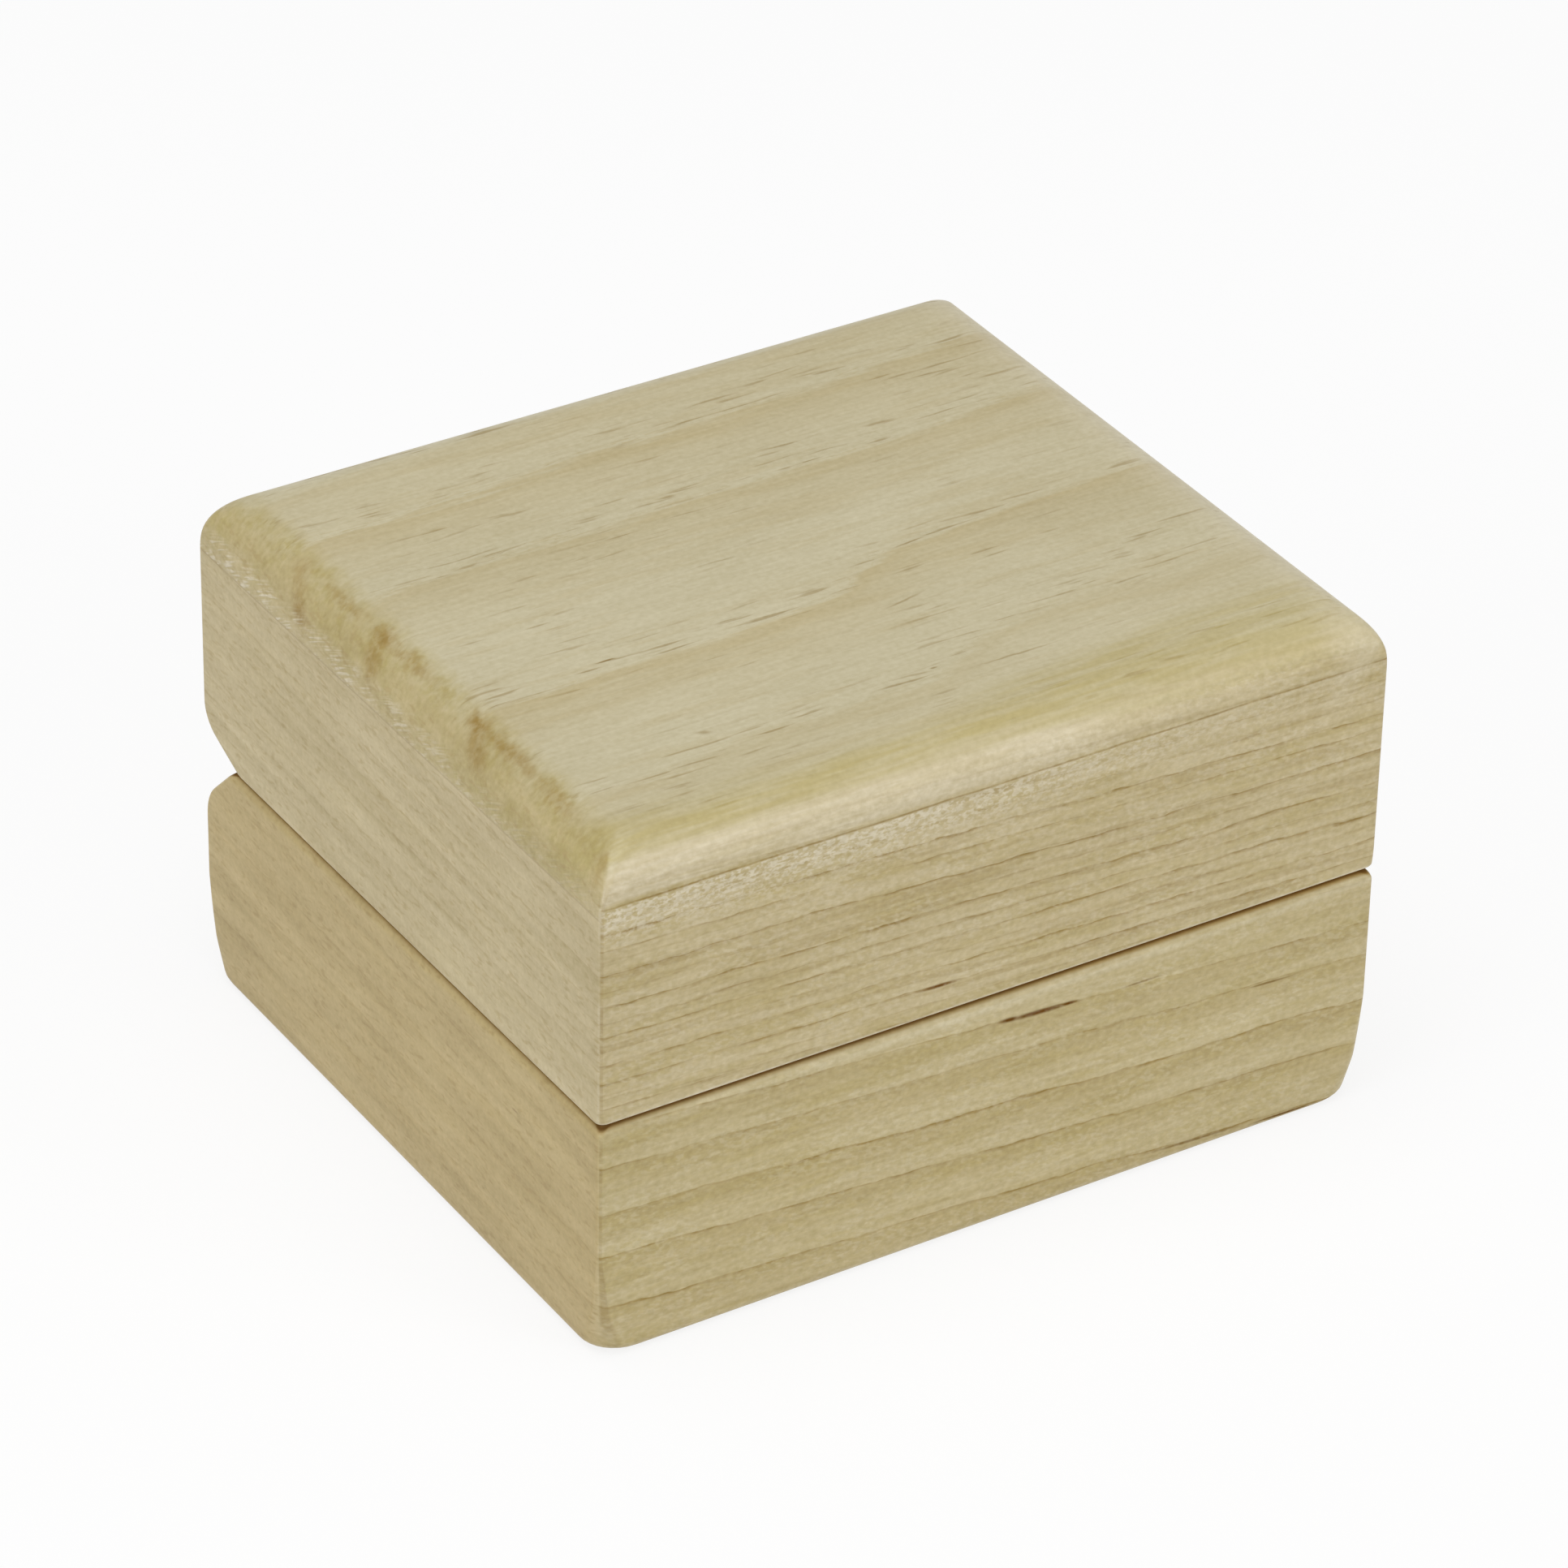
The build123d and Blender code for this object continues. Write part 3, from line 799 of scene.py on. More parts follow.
def spread(low, high, count):
    """Evenly spaced values, both ends included."""
    return [low + (high - low) * i / (count - 1) for i in range(count)]


print("pocket", round(2 * pocket_half / mm, 1), "by", round((pocket_back - pocket_front) / mm, 1), "mm")

# %% [markdown]
# The relief at the back is a bevel that runs into the back face through an arc. The height of a ring is
# all that is needed to know how far its back edge is set in. A relief is given by its depth, its rise and
# its bend.

# %% Lid and base skins
lid_relief = (6.2 * mm, 2.8 * mm, 2.75 * mm)
base_relief = (4.6 * mm, 4.5 * mm, 4.0 * mm)
lid_relief_top = 5.6 * mm
roundover = 4.0 * mm
lid_rim_ease = 0.22 * mm
base_rim_ease = 1.0 * mm
base_foot_ease = 1.05 * mm
belly_height = 9.7 * mm
belly_inset = 0.2 * mm
arris_radius = 0.4 * mm
roundover_softening = 0.6
end_roundover_width = 4.4 * mm
end_roundover_height = 5.1 * mm
rim_lift = 0.24 * mm
rim_lift_width = 3.0 * mm
rim_dub = 0.3 * mm
rim_dub_height = 2.2 * mm
foot_corner = 2.75 * mm
knee_corner = 1.2 * mm
knee_height = 3.8 * mm
quarter_turn = 0.5 * math.pi
# Counts of the rings along each part of the skins.
roundover_steps = 19
lid_end_steps = 6
lid_wall_steps = 12
lid_relief_steps = 22
lid_rim_steps = 6
foot_steps = 10
belly_steps = 16
base_wall_steps = 30
base_rim_steps = 9
hollow_steps = 6


def relief_inset(height, depth, rise, bend):
    """How far the back is set in at a height from the seam: a bevel, then an arc into the back face."""
    slope = math.hypot(depth, rise)
    reach = bend * math.tan(math.atan2(depth, rise) / 2)
    if height >= rise + reach:
        return 0.0
    if height <= rise - reach * rise / slope:
        return depth * (1 - height / rise)
    return bend - math.sqrt(bend**2 - (rise + reach - height) ** 2)


def block_ring(inset, back_inset, corner, height, end_inset=0.0):
    """The plan of a block, set in by inset all round, and by at least the other two at the back and ends."""
    half = half_width - max(inset, end_inset)
    return (half, front_y + inset, back_y - max(inset, back_inset), corner, height)


def hollow_rings(rim, floor):
    """The rings of a hollow, from the rim with its broken edge down to the floor."""
    step = math.copysign(pocket_arris, floor - rim)
    places = [(pocket_arris, rim), (0.3 * pocket_arris, rim + 0.3 * step), (0.0, rim + step)]
    places += [(0.0, height) for height in spread(rim + step, floor, hollow_steps)[1:]]
    rings = []
    for out, height in places:
        rings.append((pocket_half + out, pocket_front - out, pocket_back + out, pocket_corner + out, height))
    return rings


def lid_end_inset(height):
    """How far the ends of the lid are set in: their round-over is a little taller than the front's."""
    share = max(0.0, 1 - (lid_top - height) / end_roundover_height)
    return end_roundover_width * (1 - math.sqrt(1 - share**2))


def lid_rings():
    """From the flat top over the round-over and down the walls to the rim, then up into the hollow."""
    rings = []
    for angle in spread(quarter_turn, 0.0, roundover_steps):
        inset = roundover * (1 - math.cos(angle))
        height = lid_top - roundover * (1 - math.sin(angle))
        corner = arris_radius + roundover_softening * inset
        rings.append(block_ring(inset, 0.0, corner, height, lid_end_inset(height)))
    rim = seam + rim_lift
    heights = spread(lid_top - roundover, lid_top - end_roundover_height, lid_end_steps)[1:]
    heights += spread(lid_top - end_roundover_height, seam + lid_relief_top, lid_wall_steps)[1:]
    heights += spread(seam + lid_relief_top, rim + lid_rim_ease, lid_relief_steps)[1:]
    for height in heights:
        dub = rim_dub * max(0.0, 1 - (height - seam) / rim_dub_height) ** 2
        back = relief_inset(height - seam, *lid_relief)
        rings.append(block_ring(0.0, back, arris_radius + dub, height, lid_end_inset(height)))
    for angle in spread(0.0, quarter_turn, lid_rim_steps)[1:]:
        inset = lid_rim_ease * (1 - math.cos(angle))
        height = rim + lid_rim_ease * (1 - math.sin(angle))
        back = relief_inset(height - seam, *lid_relief)
        rings.append(block_ring(inset, back, arris_radius + rim_dub, height))
    back = relief_inset(0.0, *lid_relief)
    rings.append(block_ring(rim_lift_width, back, arris_radius + rim_lift_width, seam))
    return rings + hollow_rings(seam, lid_hollow_top)


def base_corner(height):
    """Radius of the upright corners of the base: nearly sharp above, rounder towards the foot."""
    stops = ((0.0, foot_corner), (knee_height, knee_corner), (belly_height, arris_radius))
    for (low, first), (high, second) in zip(stops, stops[1:]):
        if height <= high:
            share = (height - low) / (high - low)
            return first + (second - first) * share
    return arris_radius


def base_rings():
    """From the flat underside round the foot and up the walls to the rim, then down into the hollow."""
    rings = []
    for angle in spread(quarter_turn, 0.0, foot_steps):
        inset = belly_inset + base_foot_ease * (1 - math.cos(angle))
        height = base_foot_ease * (1 - math.sin(angle))
        rings.append(block_ring(inset, 0.0, base_corner(height) + inset, height))
    for height in spread(base_foot_ease, belly_height, belly_steps)[1:]:
        inset = belly_inset * ((belly_height - height) / (belly_height - base_foot_ease)) ** 2
        rings.append(block_ring(inset, 0.0, base_corner(height) + inset, height))
    for height in spread(belly_height, seam - base_rim_ease, base_wall_steps)[1:]:
        rings.append(block_ring(0.0, relief_inset(seam - height, *base_relief), arris_radius, height))
    for angle in spread(0.0, quarter_turn, base_rim_steps)[1:]:
        inset = base_rim_ease * (1 - math.cos(angle))
        height = seam - base_rim_ease * (1 - math.sin(angle))
        back = relief_inset(seam - height, *base_relief)
        rings.append(block_ring(inset, back, arris_radius + inset, height))
    return rings + hollow_rings(seam, lining_low.z)


lid_skin = ring_block("lid_skin", lid_rings(), lid_wood)
base_skin = ring_block("base_skin", base_rings(), base_wood)
print("lid", len(lid_skin.data.polygons), "faces, base", len(base_skin.data.polygons), "faces")

# %% [markdown]
# Shallow mortises for the hinge leaves and bores for the magnets are cut with booleans, as they are cut
# with a chisel and a drill on the bench. The cutters are thrown away afterwards.

# %% Mortises and bores
mortise_gap = 0.1 * mm
leaf_thickness = 0.85 * mm
bore_gap = 0.05 * mm
cut_overrun = 1.0 * mm
bore_steps = 48
wood_sharp_angle = 35.0


def box_cutter(low, high):
    """A plain block to cut with."""
    mesh = bmesh.new()
    bmesh.ops.create_cube(mesh, size=1.0)
    matrix = Matrix.LocRotScale((low + high) / 2, None, high - low)
    bmesh.ops.transform(mesh, matrix=matrix, verts=mesh.verts)
    return mesh


def disc_cutter(centre, radius, depth):
    """A plain upright cylinder to cut with."""
    mesh = bmesh.new()
    bmesh.ops.create_cone(
        mesh, cap_ends=True, segments=bore_steps, radius1=radius, radius2=radius, depth=depth,
        matrix=Matrix.Translation(centre),
    )
    return mesh


def keep_result(piece):
    """Make the result of a piece's modifiers its own mesh."""
    view = bpy.context.evaluated_depsgraph_get()
    data = bpy.data.meshes.new_from_object(piece.evaluated_get(view))
    piece.modifiers.clear()
    piece.data = data


def modify(piece, kind, **settings):
    """Run one modifier with its settings, and make the result the piece's own mesh."""
    modifier = piece.modifiers.new(kind, kind)
    for label, value in settings.items():
        setattr(modifier, label, value)
    keep_result(piece)


def cut(piece, cutter_mesh):
    """Take a cutter out of a piece."""
    cutter = link_mesh("cutter", cutter_mesh, piece.data.materials[0])
    modify(piece, "BOOLEAN", operation="DIFFERENCE", solver="EXACT", object=cutter)
    bpy.data.objects.remove(cutter)


def cut_hardware(skin, half, direction):
    """Cut one block for its two hinge leaves and its two magnets."""
    mouth = seam - direction * cut_overrun
    for hand in ("left", "right"):
        low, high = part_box(f"hinge_{hand}_{half}_leaf")
        first = Vector((low.x - mortise_gap, low.y - mortise_gap, mouth))
        second = Vector((high.x + mortise_gap, back_y + cut_overrun, seam + direction * leaf_thickness))
        cut(skin, box_cutter(Vector(map(min, first, second)), Vector(map(max, first, second))))
    low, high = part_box(f"{half}_magnets")
    radius = (high.y - low.y) / 2
    inner = high.z if direction > 0 else low.z
    for x in (low.x + radius, high.x - radius):
        middle = Vector((x, (low.y + high.y) / 2, (inner + mouth) / 2))
        cut(skin, disc_cutter(middle, radius + bore_gap, abs(inner - mouth)))


def smooth_shading(piece, sharp_angle):
    """Shade smooth, but keep edges sharper than the angle crisp."""
    piece.data.shade_smooth()
    piece.data.set_sharp_from_angle(angle=math.radians(sharp_angle))


def store_facing(piece):
    """Keep the direction that each point of the resting skin faces, for the finish to read."""
    normals = [vertex.normal[:] for vertex in piece.data.vertices]
    facing = piece.data.attributes.new("facing", "FLOAT_VECTOR", "POINT")
    facing.data.foreach_set("vector", [part for normal in normals for part in normal])


def stand_in(piece, node, half):
    """Let a piece stand for a solid, which is hidden, and move with a body."""
    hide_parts(node)
    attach(piece, half)


for skin, half, direction in ((lid_skin, "lid", 1), (base_skin, "base", -1)):
    cut_hardware(skin, half, direction)
    smooth_shading(skin, wood_sharp_angle)
    store_facing(skin)
    stand_in(skin, f"{half}_block", half)
print("cut:", len(lid_skin.data.polygons), len(base_skin.data.polygons))

# %% [markdown]
# ## Cloth inside
#
# Each half is lined with board that is covered in short cream pile. Pile cloth looks soft because its
# fibres stand up: it has no gloss, it brightens where it is seen edge on, and it shows lighter and darker
# patches where the pile has been brushed one way or the other. Sheen gives the brightness, and two sizes
# of noise give the rest.

# %% Pile cloth finish
pile_cream = rgb(0.700, 0.640, 0.520)
pile_shadow = rgb(0.520, 0.460, 0.350)
pile_relief = 0.06


def pile_finish(name, shift):
    """Short cream pile with brushed patches."""
    material, shader, place = new_finish(name)
    tuft = place.speckle((0.16, 0.16, 0.16), 2.0, 0.6, shift)
    brushed = place.speckle((9.0, 7.0, 6.0), 3.0, 0.55, shift + 4.0)
    lean = tuft * 0.55 + brushed * 0.55
    fill(shader, Base_Color=tint(lean.ease(0.35, 0.70), pile_shadow, pile_cream), Roughness=0.95)
    fill(shader, Specular_IOR_Level=0.1, Sheen_Weight=0.5, Sheen_Roughness=0.4)
    raise_surface(shader, tuft, pile_relief)
    return material


base_pile = pile_finish("base_pile", 2.0)
lid_pile = pile_finish("lid_pile", 17.0)
print("cloth finishes:", base_pile.name, lid_pile.name)

# %% [markdown]
# ## Wall linings
#
# A lining is one section, a thin upright board with rounded edges where the cloth is folded over, that is
# carried round the hollow. That is a path and a profile, so Geometry Nodes sweeps one along the other: a
# filleted rectangle for the path, and a small one for the profile. The sizes are inputs of the tree, and
# both halves use it.


# %% Geometry node helpers
def new_tree(name, sizes, others):
    """A geometry tree with a geometry input and the named inputs; returns it, its inputs and its output."""
    tree = bpy.data.node_groups.new(name, "GeometryNodeTree")
    inputs = [("Geometry", "Geometry")] + [(label, "Float") for label in sizes] + list(others)
    for label, kind in inputs:
        tree.interface.new_socket(label, in_out="INPUT", socket_type=f"NodeSocket{kind}")
    tree.interface.new_socket("Geometry", in_out="OUTPUT", socket_type="NodeSocketGeometry")
    given = tree.nodes.new("NodeGroupInput").outputs
    return tree, {label: Value(given[label]) for label, _ in inputs}, tree.nodes.new("NodeGroupOutput")


def geometry_node(tree, kind, setting=None, **inputs):
    """The first output of a new geometry node, which may have one setting beside its inputs."""
    node = tree.nodes.new(f"GeometryNode{kind}")
    if setting:
        setattr(node, *setting)
    fill(node, **inputs)
    return Value(node.outputs[0])


def end_tree(tree, shape, material, output):
    """Close a tree: real mesh, smooth shading and a material."""
    realized = geometry_node(tree, "RealizeInstances", Geometry=shape)
    smooth = geometry_node(tree, "SetShadeSmooth", Geometry=realized)
    feed(output.inputs[0], geometry_node(tree, "SetMaterial", Geometry=smooth, Material=material))


def grow(name, tree, values, points=()):
    """Run a geometry tree on a few points, with its inputs set by name, and keep the mesh that it makes."""
    data = bpy.data.meshes.new(name)
    data.from_pydata([tuple(point) for point in points], [], [])
    piece = bpy.data.objects.new(name, data)
    bpy.context.scene.collection.objects.link(piece)
    modifier = piece.modifiers.new(name, "NODES")
    modifier.node_group = tree
    sockets = {item.name: item.identifier for item in tree.interface.items_tree if item.in_out == "INPUT"}
    for label, value in values.items():
        modifier[sockets[label]] = value
    keep_result(piece)
    return piece


def describe(piece):
    """Print a piece's name, its count of faces and its size."""
    print(piece.name, len(piece.data.polygons), "faces", [round(side / mm, 2) for side in piece.dimensions])


print("geometry node helpers ready")

# %% Wall linings
lining_thickness = 0.9 * mm
lining_fold = 0.42 * mm
corner_count = 10
fold_count = 6


def lining_tree():
    """Sweep a small rounded upright profile round a filleted rectangle."""
    labels = ("Width", "Depth", "Corner", "Thickness", "Height", "Fold")
    tree, sizes, output = new_tree("lining_strip", labels, (("Middle", "Vector"), ("Cloth", "Material")))

    def filleted(width, height, radius, count):
        """A rectangle with round corners."""
        sharp = geometry_node(tree, "CurvePrimitiveQuadrilateral", Width=width, Height=height)
        return geometry_node(tree, "FilletCurve", ("mode", "POLY"), Curve=sharp, Radius=radius, Count=count)

    path = filleted(sizes["Width"], sizes["Depth"], sizes["Corner"], corner_count)
    section = filleted(sizes["Thickness"], sizes["Height"], sizes["Fold"], fold_count)
    strip = geometry_node(tree, "CurveToMesh", Curve=path, Profile_Curve=section)
    placed = geometry_node(tree, "Transform", Geometry=strip, Translation=sizes["Middle"])
    end_tree(tree, placed, sizes["Cloth"], output)
    return tree


def wall_lining(half, cloth, tree):
    """The lining of one half, in place of its solid."""
    low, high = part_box(f"{half}_wall_lining")
    size = high - low
    values = {
        "Width": size.x - lining_thickness,
        "Depth": size.y - lining_thickness,
        "Corner": pocket_corner - glue_gap - lining_thickness / 2,
        "Thickness": lining_thickness,
        "Height": size.z,
        "Fold": lining_fold,
        "Middle": (low + high) / 2,
        "Cloth": cloth,
    }
    piece = grow(f"{half}_lining_strip", tree, values)
    stand_in(piece, f"{half}_wall_lining", half)
    describe(piece)


strip_tree = lining_tree()
for half, cloth in (("base", base_pile), ("lid", lid_pile)):
    wall_lining(half, cloth, strip_tree)

# %% [markdown]
# ## Cushions
#
# A ring is held between two rolls of foam under cloth, and a shallow pad faces it in the lid. Padding
# bulges where nothing holds it and pulls in where it is glued, so the shapes are not drawn but blown up:
# a slightly smaller copy of the solid gets an even mesh, its seat is pinned, and a cloth simulation
# inflates it for twenty frames. The simulation works best on larger things, so the copy is made ten times
# as big and brought back afterwards.

# %% Cushions
sewing_scale = 10.0
voxel = 0.75 * mm
slack = 0.35 * mm
pinned_band = 0.6 * mm
inflating_frames = 20
cloth_pressure = 4.0
same_point = 0.001 * mm
roll_bulge = 1.0 * mm
pad_bulge = 0.8 * mm


def solid_mesh(node):
    """A copy of a solid's mesh with its double points joined."""
    mesh = bmesh.new()
    mesh.from_mesh(nodes[node].data)
    bmesh.ops.remove_doubles(mesh, verts=mesh.verts, dist=same_point)
    return mesh


def inflate(piece, cap):
    """Blow a pinned mesh up as cloth, and let no point move further than the cap."""
    settings = piece.modifiers.new("cloth", "CLOTH").settings
    settings.use_pressure = True
    settings.uniform_pressure_force = cloth_pressure
    settings.vertex_group_mass = "seat"
    settings.effector_weights.gravity = 0.0
    scene = bpy.context.scene
    for step in range(1, inflating_frames + 1):
        scene.frame_set(step)
    blown = piece.evaluated_get(bpy.context.evaluated_depsgraph_get()).data
    moves = [new.co - old.co for new, old in zip(blown.vertices, piece.data.vertices)]
    piece.modifiers.clear()
    scene.frame_set(1)
    for point, move in zip(piece.data.vertices, moves):
        length = move.length
        point.co += move * min(1.0, cap / length) if length > 0.0 else move


def cushion(name, node, cloth, half, seat_z, cap):
    """A soft piece in place of its solid: inflated, brought back to size and kept inside its room."""
    low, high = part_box(node)
    middle = (low + high) / 2
    size = high - low
    shrink = Vector((1 - 2 * slack / size.x, 1 - 2 * slack / size.y, 1 - slack / size.z))
    seat = Vector((middle.x, middle.y, seat_z))
    mesh = solid_mesh(node)
    for vert in mesh.verts:
        vert.co = (vert.co - seat) * shrink * sewing_scale
    piece = link_mesh(name, mesh, cloth)
    modify(piece, "REMESH", mode="VOXEL", voxel_size=voxel * sewing_scale)
    pins = piece.vertex_groups.new(name="seat")
    band = pinned_band * sewing_scale
    pins.add([vert.index for vert in piece.data.vertices if abs(vert.co.z) < band], 1.0, "REPLACE")
    inflate(piece, cap * sewing_scale)
    for vert in piece.data.vertices:
        point = seat + vert.co / sewing_scale
        vert.co = [min(max(value, first), last) for value, first, last in zip(point, low, high)]
    piece.vertex_groups.clear()
    modify(piece, "SUBSURF", levels=1, render_levels=1)
    piece.data.shade_smooth()
    stand_in(piece, node, half)
    describe(piece)


roll_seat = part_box("base_floor_card")[1].z
pad_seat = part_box("lid_pad_card")[0].z
for place in ("front", "rear"):
    cushion(f"{place}_roll", f"ring_cushion_{place}", base_pile, "base", roll_seat, roll_bulge)
cushion("ceiling_pad", "lid_pad", lid_pile, "lid", pad_seat, pad_bulge)

# %% [markdown]
# The cards under the padding are grey-white board. They show only as a line round the rolls, so they keep
# the solids' meshes and get a finish of their own, with short paper fibres.

# %% Card finish
card_grey = rgb(0.560, 0.515, 0.420)
card_fleck = rgb(0.420, 0.375, 0.290)
card_relief = 0.03


def card_finish():
    """Matt board with short fibres."""
    material, shader, place = new_finish("card")
    fibres = place.speckle((0.9, 0.12, 0.12), 3.0, 0.6, 1.0)
    felt = fibres * place.speckle((0.12, 0.9, 0.12), 3.0, 0.6, 6.0)
    fill(shader, Base_Color=tint(felt.ease(0.12, 0.36), card_fleck, card_grey), Roughness=0.9)
    raise_surface(shader, felt, card_relief)
    return material


card = card_finish()
for node in ("base_floor_card", "lid_pad_card"):
    nodes[node].data.materials.clear()
    nodes[node].data.materials.append(card)
    print("card finish on", nodes[node].name)

# %% [markdown]
# ## Metal
#
# Small hinges are cut from drawn brass strip. Its surface carries fine lines along the strip, and it is a
# little duller and browner where fingers and air have reached it. The magnets are nickel plated: smooth,
# cooler, with tiny scratches. A metal is told by its reflections, so most of the work is in the
# roughness.

# %% Metal finishes
brass_bright = rgb(0.720, 0.520, 0.210)
brass_dull = rgb(0.420, 0.280, 0.100)
steel_grey = rgb(0.480, 0.480, 0.480)
steel_dark = rgb(0.300, 0.300, 0.300)
nickel_bright = rgb(0.620, 0.610, 0.580)
nickel_dull = rgb(0.440, 0.430, 0.400)
metal_relief = 0.008


def metal_finish(name, bright, dull, lines, smooth, rough, shift):
    """Metal whose drawn or rubbed lines have the given sizes along X, Y and Z."""
    material, shader, place = new_finish(name)
    drawn = place.speckle(lines, 3.0, 0.6, shift)
    handled = place.speckle((3.5, 2.5, 2.5), 3.0, 0.6, shift + 5.0)
    colour = tint(drawn * 0.35, tint(handled.ease(0.42, 0.70), bright, dull), dull)
    wear = drawn * 0.5 + handled * 0.5
    fill(shader, Base_Color=colour, Metallic=1.0, Roughness=wear.ease(0.25, 0.75, smooth, rough))
    raise_surface(shader, drawn, metal_relief)
    return material


brass = metal_finish("drawn_brass", brass_bright, brass_dull, (2.5, 0.05, 0.05), 0.26, 0.46, 3.0)
screw_brass = metal_finish("turned_brass", brass_bright, brass_dull, (0.4, 0.05, 0.4), 0.22, 0.42, 8.0)
steel = metal_finish("pin_steel", steel_grey, steel_dark, (1.5, 0.06, 0.06), 0.25, 0.40, 12.0)
nickel = metal_finish("nickel_plate", nickel_bright, nickel_dull, (0.9, 0.05, 0.3), 0.14, 0.30, 21.0)
print("metal finishes:", [finish.name for finish in (brass, screw_brass, steel, nickel)])

# %% [markdown]
# The leaves, pins and magnets have the right shape as solids, but every edge is knife sharp. A copy of
# each solid has its triangles joined back into faces, and a narrow bevel then gives its edges the light
# line of a real part.

# %% Leaves, pins and magnets
leaf_softening = 0.08 * mm
pin_softening = 0.12 * mm
magnet_softening = 0.18 * mm
flat_angle = 1.0
metal_sharp_angle = 40.0


def softened_copy(node, name, width, material, half):
    """A copy of a solid with narrow bevels along its sharp edges."""
    mesh = solid_mesh(node)
    bmesh.ops.dissolve_limit(mesh, angle_limit=math.radians(flat_angle), verts=mesh.verts, edges=mesh.edges)
    piece = link_mesh(name, mesh, material)
    limit = math.radians(metal_sharp_angle)
    modify(piece, "BEVEL", width=width, segments=2, limit_method="ANGLE", angle_limit=limit)
    smooth_shading(piece, metal_sharp_angle)
    stand_in(piece, node, half)
    describe(piece)


for hand in ("left", "right"):
    for half in ("base", "lid"):
        leaf = f"{hand}_{half}_leaf"
        softened_copy(f"hinge_{leaf}", leaf, leaf_softening, brass, half)
    softened_copy(f"hinge_{hand}_pin", f"{hand}_pin", pin_softening, steel, "base")
for half in ("base", "lid"):
    softened_copy(f"{half}_magnets", f"{half}_magnet_discs", magnet_softening, nickel, half)

# %% [markdown]
# ## Screws
#
# Eight small countersunk screws hold the leaves. One screw is made of a cone, a shank and a point, and a
# saw cut across the head takes the screwdriver. Geometry Nodes sets a copy on each screw place and turns
# every slot by its own angle, because no two screws stop at the same one.

# %% Screws
screw_spacing = 9.0 * mm
screw_edge_distance = 2.6 * mm
screw_sizes = {
    "Head": 1.2 * mm,
    "Shank": 0.7 * mm,
    "Length": 5.5 * mm,
    "Tip": 1.0 * mm,
    "Slot Width": 0.32 * mm,
    "Slot Depth": 0.28 * mm,
}
screw_sides = 40
screw_seed = 5
screw_sharp_angle = 30.0


def screw_tree():
    """A slotted countersunk screw on every point, each turned by its own angle."""
    tree, sizes, output = new_tree("slotted_screws", screw_sizes, (("Tilt", "Vector"), ("Metal", "Material")))
    head, shank, length, tip, slot_width, slot_depth = [sizes[label] for label in screw_sizes]
    sink = head - shank
    straight = length - tip - sink
    shapes = []
    for low_radius, high_radius, depth, above in (
        (shank, head, sink, 0.0), (shank, shank, straight, sink), (0.0, shank, tip, sink + straight)
    ):
        radii = {"Radius_Top": high_radius, "Radius_Bottom": low_radius}
        cone = geometry_node(tree, "MeshCone", Vertices=screw_sides, Depth=depth, **radii)
        drop = joined(0.0, 0.0, (depth + above) * -1.0)
        shapes.append(geometry_node(tree, "Transform", Geometry=cone, Translation=drop))
    # The saw's middle lies on the face of the head, so half of its height cuts.
    saw = geometry_node(tree, "MeshCube", Size=joined(head * 3.0, slot_width, slot_depth * 2.0))
    shapes[0] = geometry_node(tree, "MeshBoolean", ("operation", "DIFFERENCE"), Mesh_1=shapes[0], Mesh_2=saw)
    whole = tree.nodes.new("GeometryNodeJoinGeometry")
    for shape in shapes:
        feed(whole.inputs[0], shape)
    chance = tree.nodes.new("FunctionNodeRandomValue")
    chance.data_type = "FLOAT"
    feed(chance.inputs[2], 0.0)
    feed(chance.inputs[3], math.pi)
    feed(chance.inputs["Seed"], screw_seed)
    turn = calc_vector("ADD", joined(0.0, 0.0, Value(chance.outputs[1])), sizes["Tilt"])
    spots = geometry_node(
        tree, "InstanceOnPoints", Points=sizes["Geometry"], Instance=whole.outputs[0], Rotation=turn
    )
    end_tree(tree, spots, sizes["Metal"], output)
    return tree


def screw_places(half):
    """Middles of the screw heads in the two leaves of one half, on the face that meets the other half."""
    places = []
    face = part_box(f"hinge_{half}_screws")[1 if half == "base" else 0].z
    for hand in ("left", "right"):
        low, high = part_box(f"hinge_{hand}_{half}_leaf")
        middle = (low.x + high.x) / 2
        for shift in (-screw_spacing / 2, screw_spacing / 2):
            places.append(Vector((middle + shift, low.y + screw_edge_distance, face)))
    return places


def hinge_screws(half, tilt, tree):
    """The four screws of one half."""
    values = {**screw_sizes, "Tilt": (tilt, 0.0, 0.0), "Metal": screw_brass}
    piece = grow(f"{half}_slotted_screws", tree, values, screw_places(half))
    piece.data.set_sharp_from_angle(angle=math.radians(screw_sharp_angle))
    stand_in(piece, f"hinge_{half}_screws", half)
    describe(piece)


slotted_tree = screw_tree()
# The screws of the base point down, those of the lid point up.
hinge_screws("base", 0.0, slotted_tree)
hinge_screws("lid", math.pi, slotted_tree)

# %% [markdown]
# ## Floor and light
#
# The box stands on a plain white floor under soft light: a large panel above, one at the front right
# whose reflection runs along the round-over, a weaker one on the left, and an even sky. The floor and the
# sky are white to the camera, and the floor still takes the shadow.

# %% Stage
floor_size = 6.0
floor_white = rgb(0.9, 0.9, 0.9)
floor_glow = 0.84
sky_strength = 0.46
box_middle = Vector((0.0, 0.0, seam))
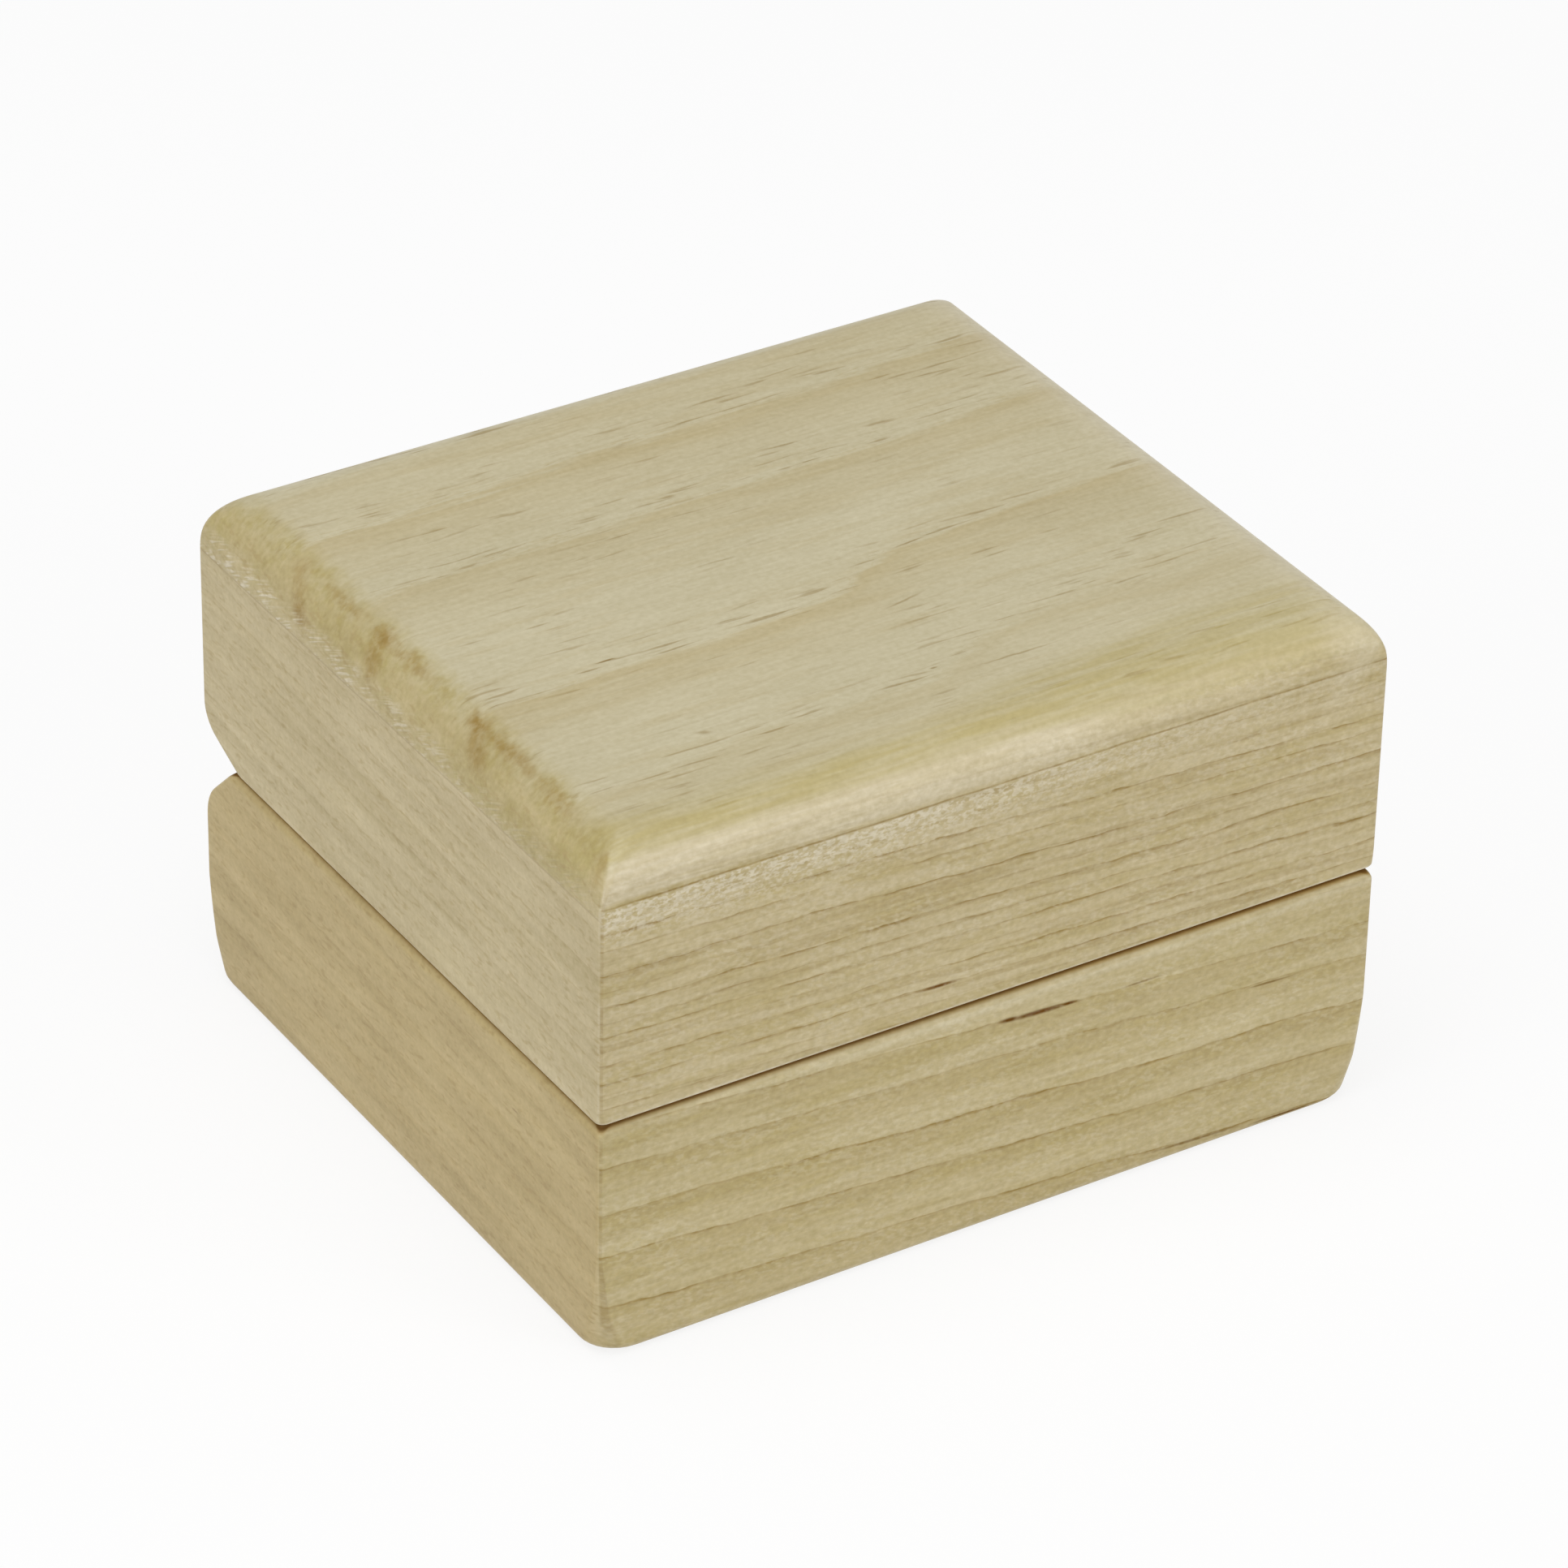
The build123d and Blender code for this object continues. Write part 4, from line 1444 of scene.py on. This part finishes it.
# Name, place, width, height and power of each panel.
panels = (
    ("panel_above", (-0.15, -0.10, 0.95), 0.7, 0.7, 5.1),
    ("panel_front", (0.45, -0.82, 0.30), 0.36, 0.70, 2.7),
    ("panel_left", (-0.85, -0.15, 0.35), 0.6, 0.6, 1.90),
)


def seen_in_picture(tree):
    """1 for what is seen by the camera or in a reflection, 0 for light that falls on other things."""
    path = tree.nodes.new("ShaderNodeLightPath")
    kinds = ("Is Camera Ray", "Is Glossy Ray", "Is Transmission Ray")
    return largest(*[Value(path.outputs[kind]) for kind in kinds])


def add_floor():
    """A wide white floor that keeps a soft shadow."""
    mesh = bmesh.new()
    bmesh.ops.create_grid(mesh, x_segments=1, y_segments=1, size=floor_size / 2)
    material = bpy.data.materials.new("floor")
    tree, surface = empty_graph(material, "Material")
    matt = tree.nodes.new("ShaderNodeBsdfDiffuse")
    feed(matt.inputs["Color"], floor_white)
    glow = tree.nodes.new("ShaderNodeEmission")
    mix = tree.nodes.new("ShaderNodeMixShader")
    parts = (seen_in_picture(tree) * floor_glow, matt.outputs[0], glow.outputs[0])
    for socket, part in zip(mix.inputs, parts):
        feed(socket, part)
    feed(surface, mix.outputs[0])
    link_mesh("floor", mesh, material)


def add_sky():
    """An even white sky, at full white where it is seen."""
    world = bpy.data.worlds.new("sky")
    tree, surface = empty_graph(world, "World")
    background = tree.nodes.new("ShaderNodeBackground")
    feed(background.inputs["Strength"], seen_in_picture(tree).blend(sky_strength, 1.0))
    feed(surface, background.outputs[0])
    bpy.context.scene.world = world


def add_panel(name, place, width, height, power):
    """A panel of light that faces the box."""
    data = bpy.data.lights.new(name, "AREA")
    data.shape = "RECTANGLE"
    data.size = width
    data.size_y = height
    data.energy = power
    panel = bpy.data.objects.new(name, data)
    panel.matrix_world = aimed(Vector(place), box_middle)
    bpy.context.scene.collection.objects.link(panel)


add_floor()
add_sky()
for panel in panels:
    add_panel(*panel)
bpy.context.scene.view_settings.view_transform = "Standard"
print("stage ready")
